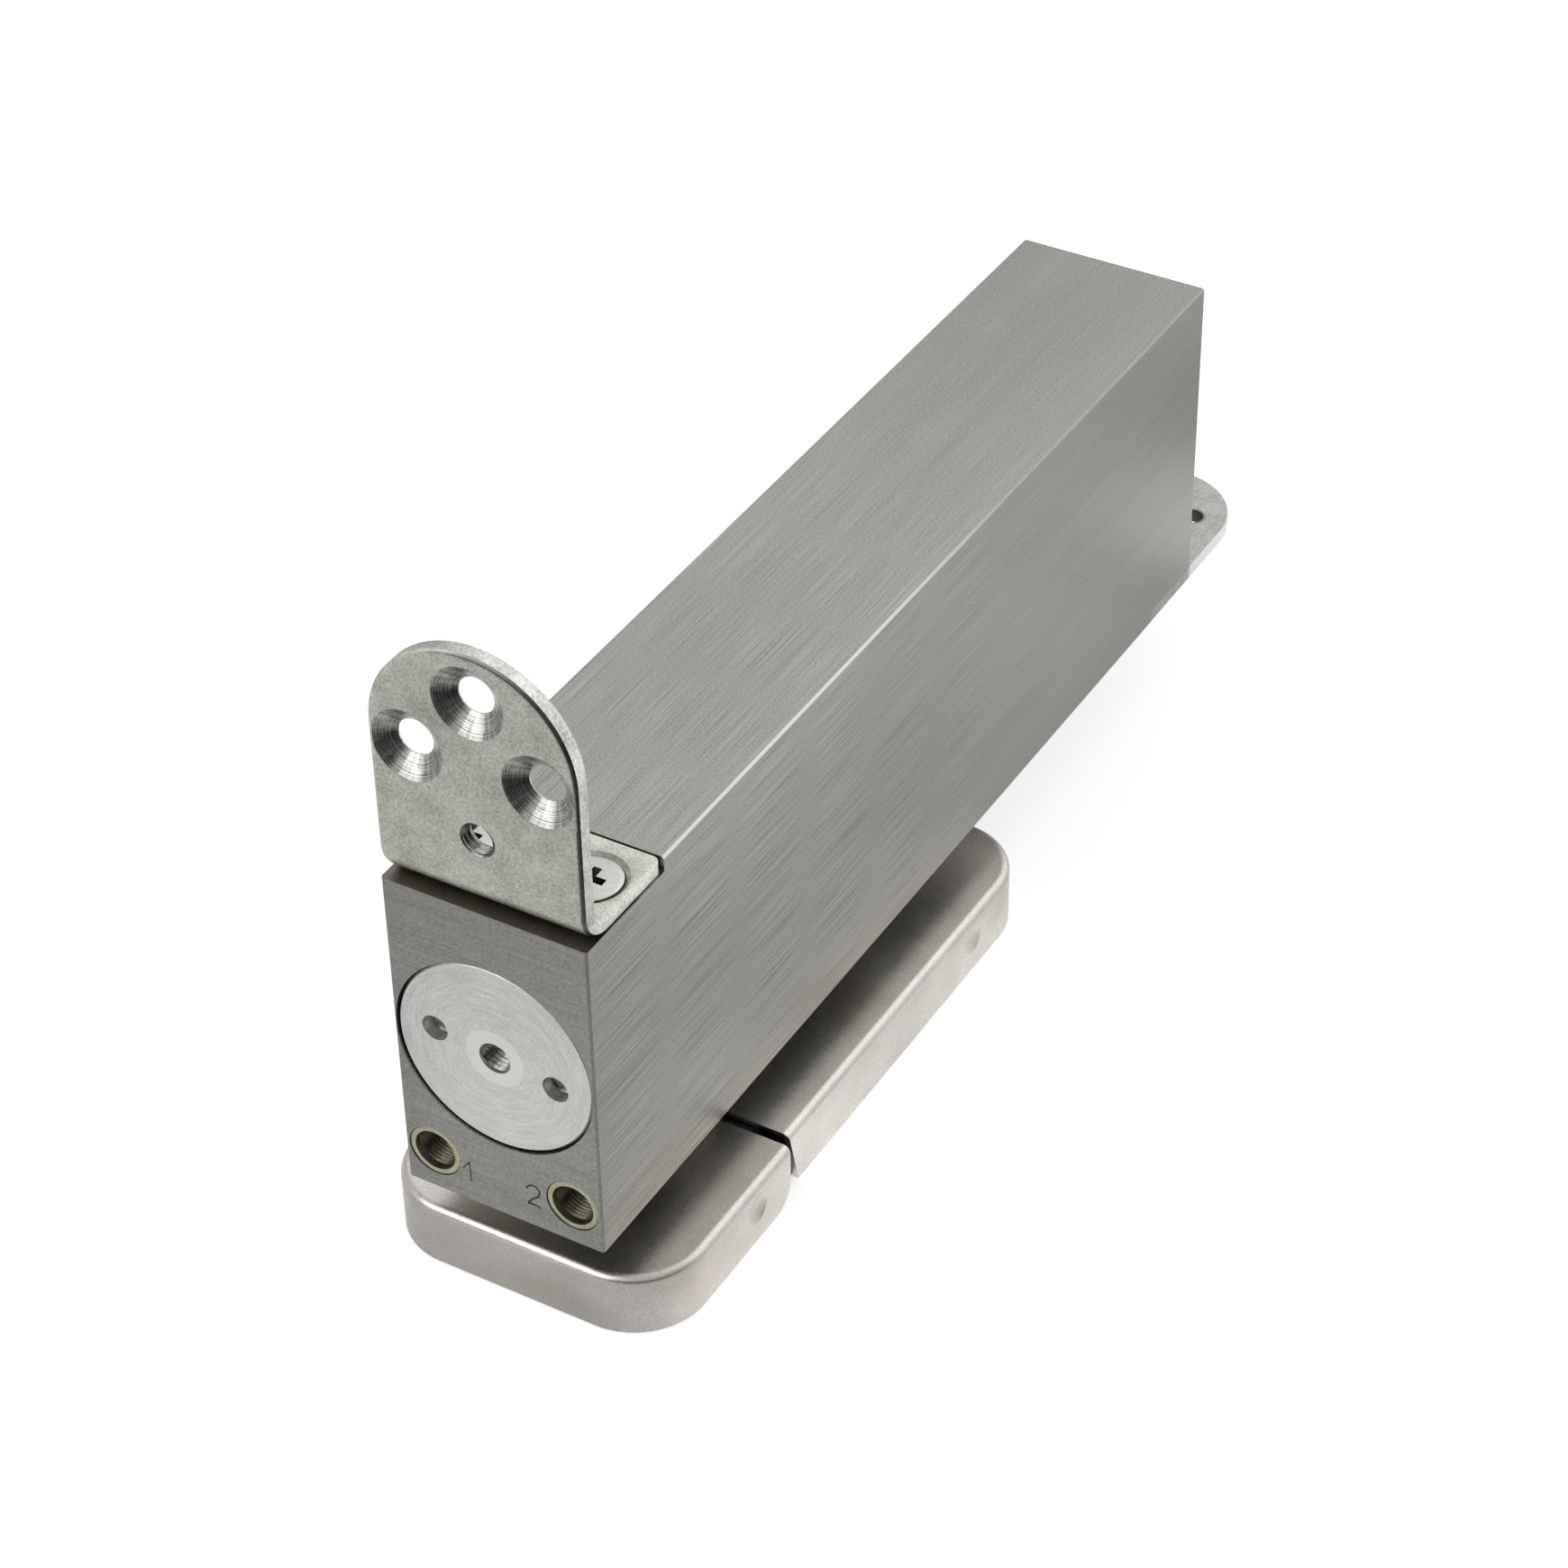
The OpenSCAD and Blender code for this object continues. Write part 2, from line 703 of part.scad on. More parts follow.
// Turned cap with two spanner holes and a tapped hole
module end_cap() {
    color("lightgray") difference() {
        union() {
            cone_y(cap_d / 2 - cap_edge, cap_d / 2, cap_face_y, cap_face_y + cap_edge, z = bore_z);
            rod_y(cap_d / 2, cap_face_y + cap_edge, cap_face_y + cap_flange_t, z = bore_z);
            rod_y(cap_thread_d / 2 - thread_play, cap_face_y + cap_edge, cap_inner_y, z = bore_z);
        }
        translate([0, cap_ring_y() - cap_groove_w / 2, bore_z]) rotate([-90, 0, 0])
            ring_z(cap_d, cap_thread_d / 2 - cap_groove_deep, 0, cap_groove_w);
        translate([0, 0, bore_z]) rotate([0, -spanner_turn, 0]) for (x = [-1, 1])
            rod_y(spanner_d / 2, front_y - eps, cap_face_y + spanner_depth, x * spanner_pitch / 2);
        rod_y(tapped_d / 2, front_y - eps, cap_face_y + cap_hole_depth, z = bore_z);
    }
}

function cap_ring_y() = cap_inner_y - cap_ring_wall - cap_groove_w / 2;

module cap_seal() {
    color("black") o_ring_y(cap_thread_d / 2 - thread_play, cap_seal_section_r, cap_ring_y(),
                            z = bore_z);
}

// Drawn cup with inward lips
module bearing_cup(r_out, journal_r, z0, z1) {
    inner = journal_r + journal_play + lip_gap;
    translate([0, 0, z0]) rotate_extrude() difference() {
        translate([inner, 0]) square([r_out - inner, z1 - z0]);
        translate([inner - eps, lip_t]) square([r_out - cup_t - inner + eps, z1 - z0 - 2 * lip_t]);
    }
}

module needle_ring(journal_r, z0, z1, count) {
    r = journal_r + journal_play + needle_d / 2;
    for (i = [0 : count - 1]) rotate(i * 360 / count)
        translate([r, 0, z0 + lip_t + needle_end_play])
            cylinder(d = needle_d, h = z1 - z0 - 2 * (lip_t + needle_end_play));
}

module lower_bearing_cup() {
    color("silver")
        bearing_cup(lower_bearing_r, lower_journal_d / 2, lower_bearing_z0, lower_bearing_z1);
}

module lower_bearing_needles() {
    color("gainsboro") needle_ring(lower_journal_d / 2, lower_bearing_z0, lower_bearing_z1,
                                   lower_needle_count);
}

module upper_bearing_cup() {
    color("silver")
        bearing_cup(upper_bearing_r, upper_journal_d / 2, upper_bearing_z0, upper_bearing_z1);
}

module upper_bearing_needles() {
    color("gainsboro") needle_ring(upper_journal_d / 2, upper_bearing_z0, upper_bearing_z1,
                                   upper_needle_count);
}

// Lip seal below the lower bearing
module spindle_seal() {
    inner = lower_journal_d / 2 + seal_lip_play;
    outer = lower_bearing_r;
    seal_z1 = seal_z0 + seal_l;
    color("black") rotate_extrude() polygon([
        [inner + seal_lip_foot, seal_z0], [outer, seal_z0], [outer, seal_z1],
        [outer - seal_wall, seal_z1], [outer - seal_wall, seal_z0 + seal_floor],
        [inner + seal_lip_w, seal_z0 + seal_floor], [inner + seal_lip_w, seal_z1 - seal_lip_top],
        [inner, seal_z1 - seal_lip_edge]
    ]);
}

// Threaded ring that keeps the seal in
module gland_nut() {
    color("silver") difference() {
        ring_z(gland_d / 2 - thread_play, lower_journal_d / 2 + gland_play,
               base_z, base_z + gland_t);
        for (a = [45 : 90 : 315]) rotate(a)
            translate([gland_d / 2 - gland_notch_inset, 0, base_z - eps])
                cylinder(d = gland_notch_d, h = gland_notch_deep + eps);
    }
}

// Helix of the main spring, with closed coils at both ends
total_coils = active_coils + 2 * end_coils;
closed_rise = end_coils * (wire_d + closed_gap);
function coil_rise(n) =
    n < end_coils ? n * (wire_d + closed_gap)
    : n > total_coils - end_coils
        ? spring_span - (total_coils - n) * (wire_d + closed_gap)
        : closed_rise + (n - end_coils) / active_coils * (spring_span - 2 * closed_rise);
spring_span = spring_y1 - spring_y0 - wire_d;
active_pitch = (spring_span - 2 * closed_rise) / active_coils;
ring_count = total_coils * rings_per_coil + 1;
wire_points = [
    for (i = [0 : ring_count - 1]) for (j = [0 : wire_sides - 1])
        let (a = 360 * i / rings_per_coil, b = 360 * j / wire_sides,
             r = coil_r + wire_d / 2 * cos(b))
        [r * cos(a), spring_y0 + wire_d / 2 + coil_rise(i / rings_per_coil)
            + wire_d / 2 * sin(b), bore_z + r * sin(a)]
];
wire_faces = concat(
    [[for (j = [0 : wire_sides - 1]) j]],
    [for (i = [0 : ring_count - 2]) for (j = [0 : wire_sides - 1])
        let (a = i * wire_sides + j, b = i * wire_sides + (j + 1) % wire_sides)
        each [[a, a + wire_sides, b], [b, a + wire_sides, b + wire_sides]]],
    [[for (j = [wire_sides - 1 : -1 : 0]) (ring_count - 1) * wire_sides + j]]
);

module main_spring() {
    echo(least_gap_between_coils = min(closed_gap, active_pitch - wire_d));
    color("steelblue") polyhedron(wire_points, wire_faces, convexity = 10);
}

// Disc at the blind end that centres the spring
module spring_seat() {
    color("darkgray") {
        rod_y(bore_r - seat_play, bore_end_y - seat_t, bore_end_y - seat_end_play, z = bore_z);
        rod_y(guide_r, bore_end_y - seat_t - guide_l, bore_end_y - seat_t + lap, z = bore_z);
    }
}

// Valve sleeve with its visible rim
module valve_sleeve(side) {
    color("khaki") difference() {
        rod_y(sleeve_d / 2, sleeve_y0, sleeve_y1, side * valve_offset, valve_z);
        rod_y(sleeve_bore_d / 2, sleeve_y0 - eps, sleeve_y1 + eps, side * valve_offset, valve_z);
    }
}

module valve_1_sleeve() { valve_sleeve(-1); }

module valve_2_sleeve() { valve_sleeve(1); }

// Adjusting screw: hexagon socket head, stem and needle point
module valve_adjuster(side) {
    x = side * valve_offset;
    head_y1 = adjuster_y0 + adjuster_head_l;
    color("darkkhaki") difference() {
        union() {
            rod_y(sleeve_bore_d / 2 - adjuster_play, adjuster_y0, head_y1, x, valve_z);
            rod_y(stem_d / 2, head_y1 - lap, needle_seat_y - needle_cone_l, x, valve_z);
            cone_y(stem_d / 2, needle_tip_d / 2, needle_seat_y - needle_cone_l - touch,
                   needle_seat_y - needle_lift, x, valve_z);
        }
        translate([x, adjuster_y0 - eps, valve_z]) rotate([-90, 0, 0])
            cylinder(d = adjuster_socket_w / cos(30), h = adjuster_socket_deep + eps, $fn = 6);
    }
}

module valve_1_adjuster() { valve_adjuster(-1); }

module valve_2_adjuster() { valve_adjuster(1); }

module valve_seal(side) {
    section_r = (sleeve_bore_d - stem_d) / 4 - seal_ring_play;
    color("black") o_ring_y(sleeve_bore_d / 2 - seal_ring_play, section_r,
                            adjuster_y0 + adjuster_head_l + section_r, side * valve_offset, valve_z);
}

module valve_1_seal() { valve_seal(-1); }

module valve_2_seal() { valve_seal(1); }

// Piston: two heads joined by a waist, with the rack cut into its left side
module piston() {
    color("gray") difference() {
        union() {
            rod_y(piston_r, piston_front_y + nose_l, piston_rear_y, z = bore_z);
            rod_y(piston_r - nose_cut, piston_front_y, piston_front_y + nose_l + lap, z = bore_z);
            rod_y(guide_r, piston_rear_y - lap, piston_rear_y + guide_l, z = bore_z);
        }
        box([rack_tip_x, window_front_y, bore_z - bore_r - eps],
            [window_rear_y, window_rear_y, bore_z + bore_r + eps]);
        for (k = [rack_first : rack_last]) translate([0, k * tooth_pitch, bore_z - bore_r - eps])
            linear_extrude(2 * bore_r + 2 * eps) rack_space();
        translate([0, ring_groove_y, bore_z]) rotate([-90, 0, 0])
            ring_z(bore_d, piston_r - ring_deep, 0, ring_w);
        rod_y(ball_pocket_r, piston_front_y - eps, ball_seat_y, z = bore_z);
        rod_y(ball_seat_r, ball_seat_y - eps, window_front_y + eps, z = bore_z);
        for (side = [-1, 1]) rod_y(oil_hole_r, window_rear_y - eps, piston_rear_y + eps,
                                   z = bore_z + side * oil_hole_offset);
    }
}

module rack_space() {
    polygon([
        [rack_root_x, -rack_root_half], [rack_tip_x + touch, -rack_tip_half],
        [rack_tip_x + touch, rack_tip_half], [rack_root_x, rack_root_half]
    ]);
}

module piston_seal() {
    color("white") translate([0, ring_groove_y + ring_play, bore_z]) rotate([-90, 0, 0])
        ring_z(piston_r, piston_r - ring_deep + 2 * ring_play, 0, ring_w - 2 * ring_play);
}

module check_ball() {
    seated = sqrt(ball_d * ball_d / 4 - ball_seat_r * ball_seat_r);
    color("silver") translate([0, ball_seat_y - seated - screw_play, bore_z])
        sphere(d = ball_d, $fn = 32);
}

module check_retainer() {
    color("silver") translate([0, piston_front_y, bore_z]) rotate([-90, 0, 0])
        ring_z(ball_pocket_r - retainer_play, retainer_r, 0, retainer_t);
}

// Angle bracket: horizontal leg in the recess, bend, and an arched upright leg
module front_bracket() {
    face_y = front_y + bracket_set;
    bend_y = face_y + bend_r;
    bend_z = top_z - bracket_t + bend_r;
    arch_z = base_z + arch_height;
    color("tan") difference() {
        union() {
            box([-bracket_w / 2, bend_y, top_z - bracket_t],
                [bracket_w / 2, front_y + bracket_recess_l - bracket_rear_gap, top_z]);
            intersection() {
                translate([-bracket_w / 2, bend_y, bend_z]) rotate([0, 90, 0])
                    ring_z(bend_r, bend_r - bracket_t, 0, bracket_w);
                box([-bracket_w, face_y - eps, top_z - bracket_t - eps],
                    [bracket_w, bend_y, bend_z]);
            }
            box([-bracket_w / 2, face_y, bend_z], [bracket_w / 2, face_y + bracket_t, arch_z]);
            rod_y(bracket_w / 2, face_y, face_y + bracket_t, z = arch_z);
        }
        at_bracket_screws() translate([0, 0, bracket_t])
            csk(countersink_d / 2, screw_hole_d / 2, land, bracket_t);
        for (p = [[-pair_pitch / 2, pair_height], [pair_pitch / 2, pair_height],
                  [0, top_hole_height]])
            translate([p[0], face_y, base_z + p[1]]) rotate([90, 0, 0])
                csk(countersink_d / 2, screw_hole_d / 2, land, bracket_t);
        rod_y(tapped_d / 2, face_y - eps, face_y + bracket_t + eps, z = base_z + tapped_height);
        bracket_corners();
    }
}

// Rounding of the two free corners of the horizontal leg
module bracket_corners() {
    y1 = front_y + bracket_recess_l - bracket_rear_gap;
    for (side = [-1, 1]) translate([side * bracket_w / 2, y1, top_z - bracket_t - eps])
        mirror([side > 0 ? 1 : 0, 0, 0]) difference() {
            translate([-eps, -bracket_corner_r, 0])
                cube([bracket_corner_r + eps, bracket_corner_r + eps, bracket_t + 2 * eps]);
            translate([bracket_corner_r, -bracket_corner_r, -eps])
                cylinder(r = bracket_corner_r, h = bracket_t + 4 * eps);
        }
}

module at_bracket_screws() {
    for (side = [-1, 1])
        translate([side * bracket_screw_x, front_y + bracket_screw_inset, top_z - bracket_t])
            children();
}

module bracket_screws() {
    color("silver") at_bracket_screws() translate([0, 0, bracket_t - bracket_screw_sink])
        csk_screw(bracket_screw_r, bracket_head_r, bracket_head_t, bracket_screw_l);
}

// Plate let into the underside at the far end
module tail_plate() {
    y0 = rear_y - tail_overlap;
    y1 = rear_y + tail_reach;
    color("lightgray") difference() {
        translate([0, 0, base_z]) linear_extrude(tail_t) union() {
            translate([-tail_w / 2, y0]) square([tail_w, y1 - tail_r - y0]);
            translate([-tail_w / 2 + tail_r, y0]) square([tail_w - 2 * tail_r, y1 - y0]);
            for (side = [-1, 1]) translate([side * (tail_w / 2 - tail_r), y1 - tail_r])
                circle(r = tail_r);
        }
        for (side = [-1, 1])
            translate([side * tail_pitch / 2, rear_y + tail_hole_reach, base_z - eps])
                cylinder(d = tail_hole_d, h = tail_t + 2 * eps);
        at_tail_screws() translate([0, 0, -tail_t]) mirror([0, 0, 1])
            csk(small_csk_r, small_screw_r + hole_play, tail_t - small_csk_t, tail_t);
    }
}

module at_tail_screws() {
    for (side = [-1, 1])
        translate([side * tail_screw_x, rear_y - tail_overlap / 2, base_z + tail_t]) children();
}

module tail_screws() {
    color("silver") at_tail_screws() translate([0, 0, small_sink - tail_t]) mirror([0, 0, 1])
        csk_screw(small_screw_r, small_head_r, small_head_t, tail_screw_l);
}

// Solid tray shape with round corners at y0, round top edges and a square end at y1
module tray(w, y0, y1, h, r_corner, r_edge) {
    in_w = w / 2 - r_corner;
    for (x = [-1, 1]) translate([x * in_w, y0 + r_corner, 0]) rounded_disc(r_corner, h, r_edge);
    box([-w / 2, y0 + r_corner, 0], [w / 2, y1, h - r_edge]);
    box([-w / 2 + r_edge, y0 + r_corner, 0], [w / 2 - r_edge, y1, h]);
    box([-in_w, y0, 0], [in_w, y1, h - r_edge]);
    box([-in_w, y0 + r_edge, 0], [in_w, y1, h]);
    for (x = [-1, 1]) rod_y(r_edge, y0 + r_corner, y1, x * (w / 2 - r_edge), h - r_edge);
    translate([-in_w, y0 + r_edge, h - r_edge]) rotate([0, 90, 0]) cylinder(r = r_edge, h = 2 * in_w);
}

module rounded_disc(r, h, r_edge) {
    rotate_extrude() {
        square([r, h - r_edge]);
        square([r - r_edge, h]);
        translate([r - r_edge, h - r_edge]) intersection() {
            circle(r = r_edge, $fn = 32);
            square(r_edge + eps);
        }
    }
}

// Cover shell whose closed end is at y0 and open end at y1
module cover_shell(w, y0, y1, dimple_y) {
    ball_r = (dimple_r * dimple_r + dimple_depth * dimple_depth) / (2 * dimple_depth);
    ball_x = w / 2 + ball_r - dimple_depth;
    difference() {
        union() {
            difference() {
                tray(w, y0, y1, cover_h, cover_r, cover_edge_r);
                translate([0, 0, -eps]) tray(w - 2 * cover_t, y0 + cover_t, y1 + eps,
                    cover_h - cover_t + eps, cover_r - cover_t, cover_edge_r - cover_t);
            }
            for (side = [-1, 1]) intersection() {
                translate([side * ball_x, dimple_y, dimple_z]) sphere(r = ball_r + cover_t);
                dimple_backing(side > 0 ? w / 2 - dimple_backing_t : -w / 2, dimple_y);
            }
        }
        for (side = [-1, 1])
            translate([side * ball_x, dimple_y, dimple_z]) sphere(r = ball_r);
    }
}

// Room inside the wall that a dimple may fill
module dimple_backing(x0, y) {
    box([x0, y - 2 * dimple_r, 0],
        [x0 + dimple_backing_t, y + 2 * dimple_r, cover_h - cover_edge_r]);
}

// Front half of the cover, rounded at the foot of its split end
module front_cover() {
    color("silver") difference() {
        cover_shell(front_cover_w, -front_reach, front_split_y, front_dimple_y);
        translate([0, 0, -eps]) cylinder(r = notch_r, h = cover_h + 2 * eps);
        difference() {
            box([-front_cover_w, front_split_y - split_corner_r, -eps],
                [front_cover_w, front_split_y + eps, split_corner_r]);
            translate([-front_cover_w - eps, front_split_y - split_corner_r, split_corner_r])
                rotate([0, 90, 0]) cylinder(r = split_corner_r, h = 2 * (front_cover_w + eps));
        }
    }
}

// Rear half of the cover, cut on a slant at its split end
module rear_cover() {
    color("silver") difference() {
        mirror([0, 1, 0]) cover_shell(rear_cover_w, -rear_reach, -rear_split_y, -rear_dimple_y);
        translate([0, rear_split_y, cover_h]) rotate([split_slant, 0, 0])
            translate([-rear_cover_w, -rear_cover_w, -2 * rear_cover_w])
            cube([2 * rear_cover_w, rear_cover_w, 3 * rear_cover_w]);
        translate([0, 0, -eps]) cylinder(r = notch_r, h = cover_h + 2 * eps);
    }
}

floor_plate();
pivot_socket();
socket_screws();
clamp_screws();
spindle();
thrust_washer();
housing();
end_cap();
cap_seal();
lower_bearing_cup();
lower_bearing_needles();
upper_bearing_cup();
upper_bearing_needles();
spindle_seal();
gland_nut();
main_spring();
spring_seat();
valve_1_sleeve();
valve_2_sleeve();
passage_plugs();
front_bracket();
bracket_screws();
tail_plate();
tail_screws();
piston();
piston_seal();
check_ball();
check_retainer();
valve_1_adjuster();
valve_1_seal();
valve_2_adjuster();
valve_2_seal();
front_cover();
rear_cover();
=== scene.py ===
# %% [markdown]
# # A concealed door closer
# The closer is a brushed steel block that hides in the bottom rail of a door. It stands on a
# spindle in the floor, under a pressed cover in two halves. The solids come from the packed
# model, so every piece already has its true size and place in metres. This lesson adds what
# makes them look real: a camera, light, metals, threads, screw heads and scratched numbers.
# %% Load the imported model
import math
import bmesh
import bpy
from mathutils import Euler, Matrix, Vector


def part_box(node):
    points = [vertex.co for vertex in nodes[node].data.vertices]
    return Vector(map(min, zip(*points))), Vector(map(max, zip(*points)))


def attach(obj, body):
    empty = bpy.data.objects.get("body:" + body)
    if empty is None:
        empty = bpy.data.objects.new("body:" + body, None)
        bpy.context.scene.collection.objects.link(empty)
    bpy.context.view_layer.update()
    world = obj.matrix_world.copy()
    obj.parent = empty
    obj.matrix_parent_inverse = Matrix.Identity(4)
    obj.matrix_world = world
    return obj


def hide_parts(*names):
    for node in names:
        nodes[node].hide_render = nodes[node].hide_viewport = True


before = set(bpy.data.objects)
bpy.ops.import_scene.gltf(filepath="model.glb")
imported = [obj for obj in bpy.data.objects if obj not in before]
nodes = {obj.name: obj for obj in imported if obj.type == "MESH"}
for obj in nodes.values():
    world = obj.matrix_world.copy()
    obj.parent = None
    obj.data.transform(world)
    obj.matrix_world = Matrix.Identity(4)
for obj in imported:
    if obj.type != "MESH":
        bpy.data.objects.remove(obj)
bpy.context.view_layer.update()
MM = 0.001

# %% [markdown]
# ## The sizes that drive the rest
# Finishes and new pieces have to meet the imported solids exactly. A solid's own box tells
# where its outer faces lie, so those places are read from the frame. Only what lies inside
# a box, such as the middle of a hole, is written as a number where it is needed. All are
# millimetres, from the spindle's axis and the floor, and MM turns them into metres.
# %% Measure the solids
def corners(name):
    """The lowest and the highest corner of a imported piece, in millimetres."""
    return [[round(v / MM, 3) for v in corner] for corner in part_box(name)]


block_low, block_high = corners("housing")
BLOCK_FRONT = block_low[1]
BLOCK_RIGHT, BLOCK_END, BLOCK_TOP = block_high
bracket_low, bracket_high = corners("front_bracket")
LEDGE_Z = bracket_low[2]
print("block in mm:", block_low, block_high)

# %% [markdown]
# ## The camera
# The photograph was taken from the front right and from above, with a long lens. Its place
# was worked out from the edges of the block, which is 40 by 70 by 228 mm. A camera in
# Blender looks along its own -Z with +Y up, so the three rows of the solved view (right,
# down, forward) turn into the columns of the object's matrix.
# %% Place the camera
PHOTO_PIXELS, FOCAL_PIXELS, SENSOR_MM = 1740, 4530.6, 36
STAND = (0.303098, -0.457030, 0.508514)
right = Vector((0.864351, 0.502649, -0.015566))
down = Vector((0.298329, -0.537430, -0.788777))
forward = Vector((-0.404843, 0.677136, -0.614482))
camera = bpy.data.objects.new("camera", bpy.data.cameras.new("camera"))
bpy.context.scene.collection.objects.link(camera)
facing = Matrix((right, -down, -forward)).transposed()
camera.matrix_world = Matrix.Translation(STAND) @ facing.to_4x4()
camera.data.sensor_width = SENSOR_MM
camera.data.lens = SENSOR_MM * FOCAL_PIXELS / PHOTO_PIXELS
camera.data.clip_start, camera.data.clip_end = 0.02, 50
bpy.context.scene.camera = camera
print("lens in mm:", round(camera.data.lens, 2))

# %% [markdown]
# ## Shader sums that read like sums
# A metal's grain is worked out with dozens of Math nodes. Wiring them one by one hides the
# idea, so a small class wraps a socket and turns + - * into those nodes. The reflected
# forms let a plain number stand first, as in 1 - mask. Blender's noise lies round one half,
# so swing says how far it is from there, times a strength.
# %% Wrap a socket
class Value:
    """A number that varies over the surface."""

    def __init__(self, wiring, socket):
        self.wiring, self.socket = wiring, socket

    def __add__(self, other):
        return self.wiring.math("ADD", self, other)

    def __sub__(self, other):
        return self.wiring.math("SUBTRACT", self, other)

    def __mul__(self, other):
        return self.wiring.math("MULTIPLY", self, other)

    def __rsub__(self, other):
        return self.wiring.math("SUBTRACT", other, self)

    def swing(self, strength):
        return (self - 0.5) * strength

    __radd__, __rmul__ = __add__, __mul__


def between(first, second, amount):
    """A number between two, by an amount that varies."""
    return first + (second - first) * amount


print("a sum of values is now a row of Math nodes")

# %% [markdown]
# ## A node tree to write on
# Materials, the world and Geometry Nodes are all node trees, so one class serves the three.
# Its method node takes a node's type, what its sockets get, and its settings by name. The
# settings come first, because some of them change which sockets a node has.
# %% Wrap a node tree
class Wiring:
    """A node tree that is filled by small calls."""

    def __init__(self, tree):
        self.tree = tree
        self.tree.nodes.clear()

    def plug(self, socket, value):
        if isinstance(value, Value):
            value = value.socket
        if isinstance(value, bpy.types.NodeSocket):
            self.tree.links.new(value, socket)
        else:
            socket.default_value = value

    def node(self, kind, inputs=None, **settings):
        made = self.tree.nodes.new(kind)
        for key, value in settings.items():
            setattr(made, key, value)
        for key, value in (inputs or {}).items():
            self.plug(made.inputs[key], value)
        return made

    def math(self, operation, *values):
        made = self.node("ShaderNodeMath", dict(enumerate(values)), operation=operation)
        return Value(self, made.outputs[0])

    def clamp(self, value):
        return Value(self, self.node("ShaderNodeClamp", {"Value": value}).outputs[0])

    def step(self, value, start, stop):
        """0 before start, 1 after stop, and a soft slope between them."""
        made = self.node("ShaderNodeMapRange", {"Value": value, "From Min": start, "From Max": stop},
                         interpolation_type="SMOOTHSTEP")
        return Value(self, made.outputs[0])

    def dot(self, vector, other):
        made = self.node("ShaderNodeVectorMath", {0: vector, 1: other}, operation="DOT_PRODUCT")
        return Value(self, made.outputs["Value"])

    def ray(self, kind):
        """1 for rays of one kind, such as those that the camera sends out."""
        return Value(self, self.node("ShaderNodeLightPath").outputs[f"Is {kind} Ray"])


print("node trees can be written")

# %% [markdown]
# ## Patterns that follow the place
# The patterns read Object coordinates, which are metres in the room, because all objects
# sit at the origin. A pattern is therefore given by how often it changes in a metre, and
# stretching it in one direction makes lines.
# %% Wrap the patterns
class Pattern(Wiring):
    """A node tree whose values change with the place on the piece."""

    def __init__(self, tree):
        super().__init__(tree)
        self.place = self.node("ShaderNodeTexCoord").outputs["Object"]

    def axes(self):
        made = self.node("ShaderNodeSeparateXYZ", {0: self.place})
        return [Value(self, out) for out in made.outputs]

    def stretched(self, x, y, z):
        """Object coordinates in metres, times one factor for each axis."""
        return self.node("ShaderNodeMapping", {"Vector": self.place, "Scale": (x, y, z)}).outputs[0]

    def noise(self, vector, detail=2.0, rough=0.5):
        made = self.node("ShaderNodeTexNoise",
                         {"Vector": vector, "Scale": 1.0, "Detail": detail, "Roughness": rough})
        return Value(self, made.outputs["Fac"])

    def even(self, per_metre, detail=2.0, rough=0.5):
        """Noise that is alike in all directions."""
        return self.noise(self.stretched(per_metre, per_metre, per_metre), detail, rough)

    def pits(self, per_metre, rim, middle):
        """1 in the middle of small scattered dots, and 0 beyond their rim."""
        made = self.node("ShaderNodeTexVoronoi",
                         {"Vector": self.stretched(per_metre, per_metre, per_metre), "Scale": 1.0})
        return self.step(Value(self, made.outputs["Distance"]), rim, middle)


print("patterns can be written")

# %% [markdown]
# ## A material to write on
# Every finish here is one Principled BSDF, whose colour, roughness and slope change with
# the pattern. A finish often has a second or a third colour, such as bare metal on a worn
# edge. Such a colour covers the first by an amount that is 1 where it shows fully.
# %% Wrap a material
class Look(Pattern):
    """A material and its node tree, starting from one Principled BSDF."""

    def __init__(self, name, **constants):
        self.material = bpy.data.materials.new(name)
        self.material.use_nodes = True
        super().__init__(self.material.node_tree)
        self.shader = self.node("ShaderNodeBsdfPrincipled")
        self.node("ShaderNodeOutputMaterial", {"Surface": self.shader.outputs[0]})
        self.set(**constants)

    def set(self, **inputs):
        for key, value in inputs.items():
            self.plug(self.shader.inputs[key.replace("_", " ")], value)
        return self

    def tint(self, low, high, amount):
        """A colour between two, by an amount that varies."""
        ends = [c if isinstance(c, bpy.types.NodeSocket) else (*c, 1) for c in (low, high)]
        made = self.node("ShaderNodeMix", {"Factor": amount, 6: ends[0], 7: ends[1]},
                         data_type="RGBA")
        return made.outputs[2]

    def cover(self, colour, amount):
        """Lay one more colour over the base colour that is there, by an amount."""
        under = self.shader.inputs["Base Color"].links[0].from_socket
        return self.set(Base_Color=self.tint(under, colour, amount))

    def bump(self, height, strength, distance):
        made = self.node("ShaderNodeBump",
                         {"Height": height, "Strength": strength, "Distance": distance})
        return self.set(Normal=made.outputs[0])


def paint(material, *names):
    for name in names:
        slots = nodes[name].data.materials
        slots.clear()
        slots.append(material)


print("materials can be written")

# %% [markdown]
# ## Brushed steel for the block
# The block is ground on a belt, so its long faces carry fine straight lines along their
# length, and the small front face carries them across. Noise that is squeezed hard in one
# direction gives such lines: many changes across them and few along them. Lines of three
# sizes lie over each other, as from a worn belt, with grit and faint clouds of handling.
# They are strongest near the bracket and weaker on the front, on the top and far away.
# %% Grind lines with a belt
def belt_lines(look, across, along, crosswise):
    """Lines along Y, or along X where crosswise is 1, by their changes in a metre."""
    lengthwise = look.noise(look.stretched(across, along, across), rough=0.6)
    athwart = look.noise(look.stretched(along, across, across), rough=0.6)
    return between(lengthwise, athwart, crosswise)


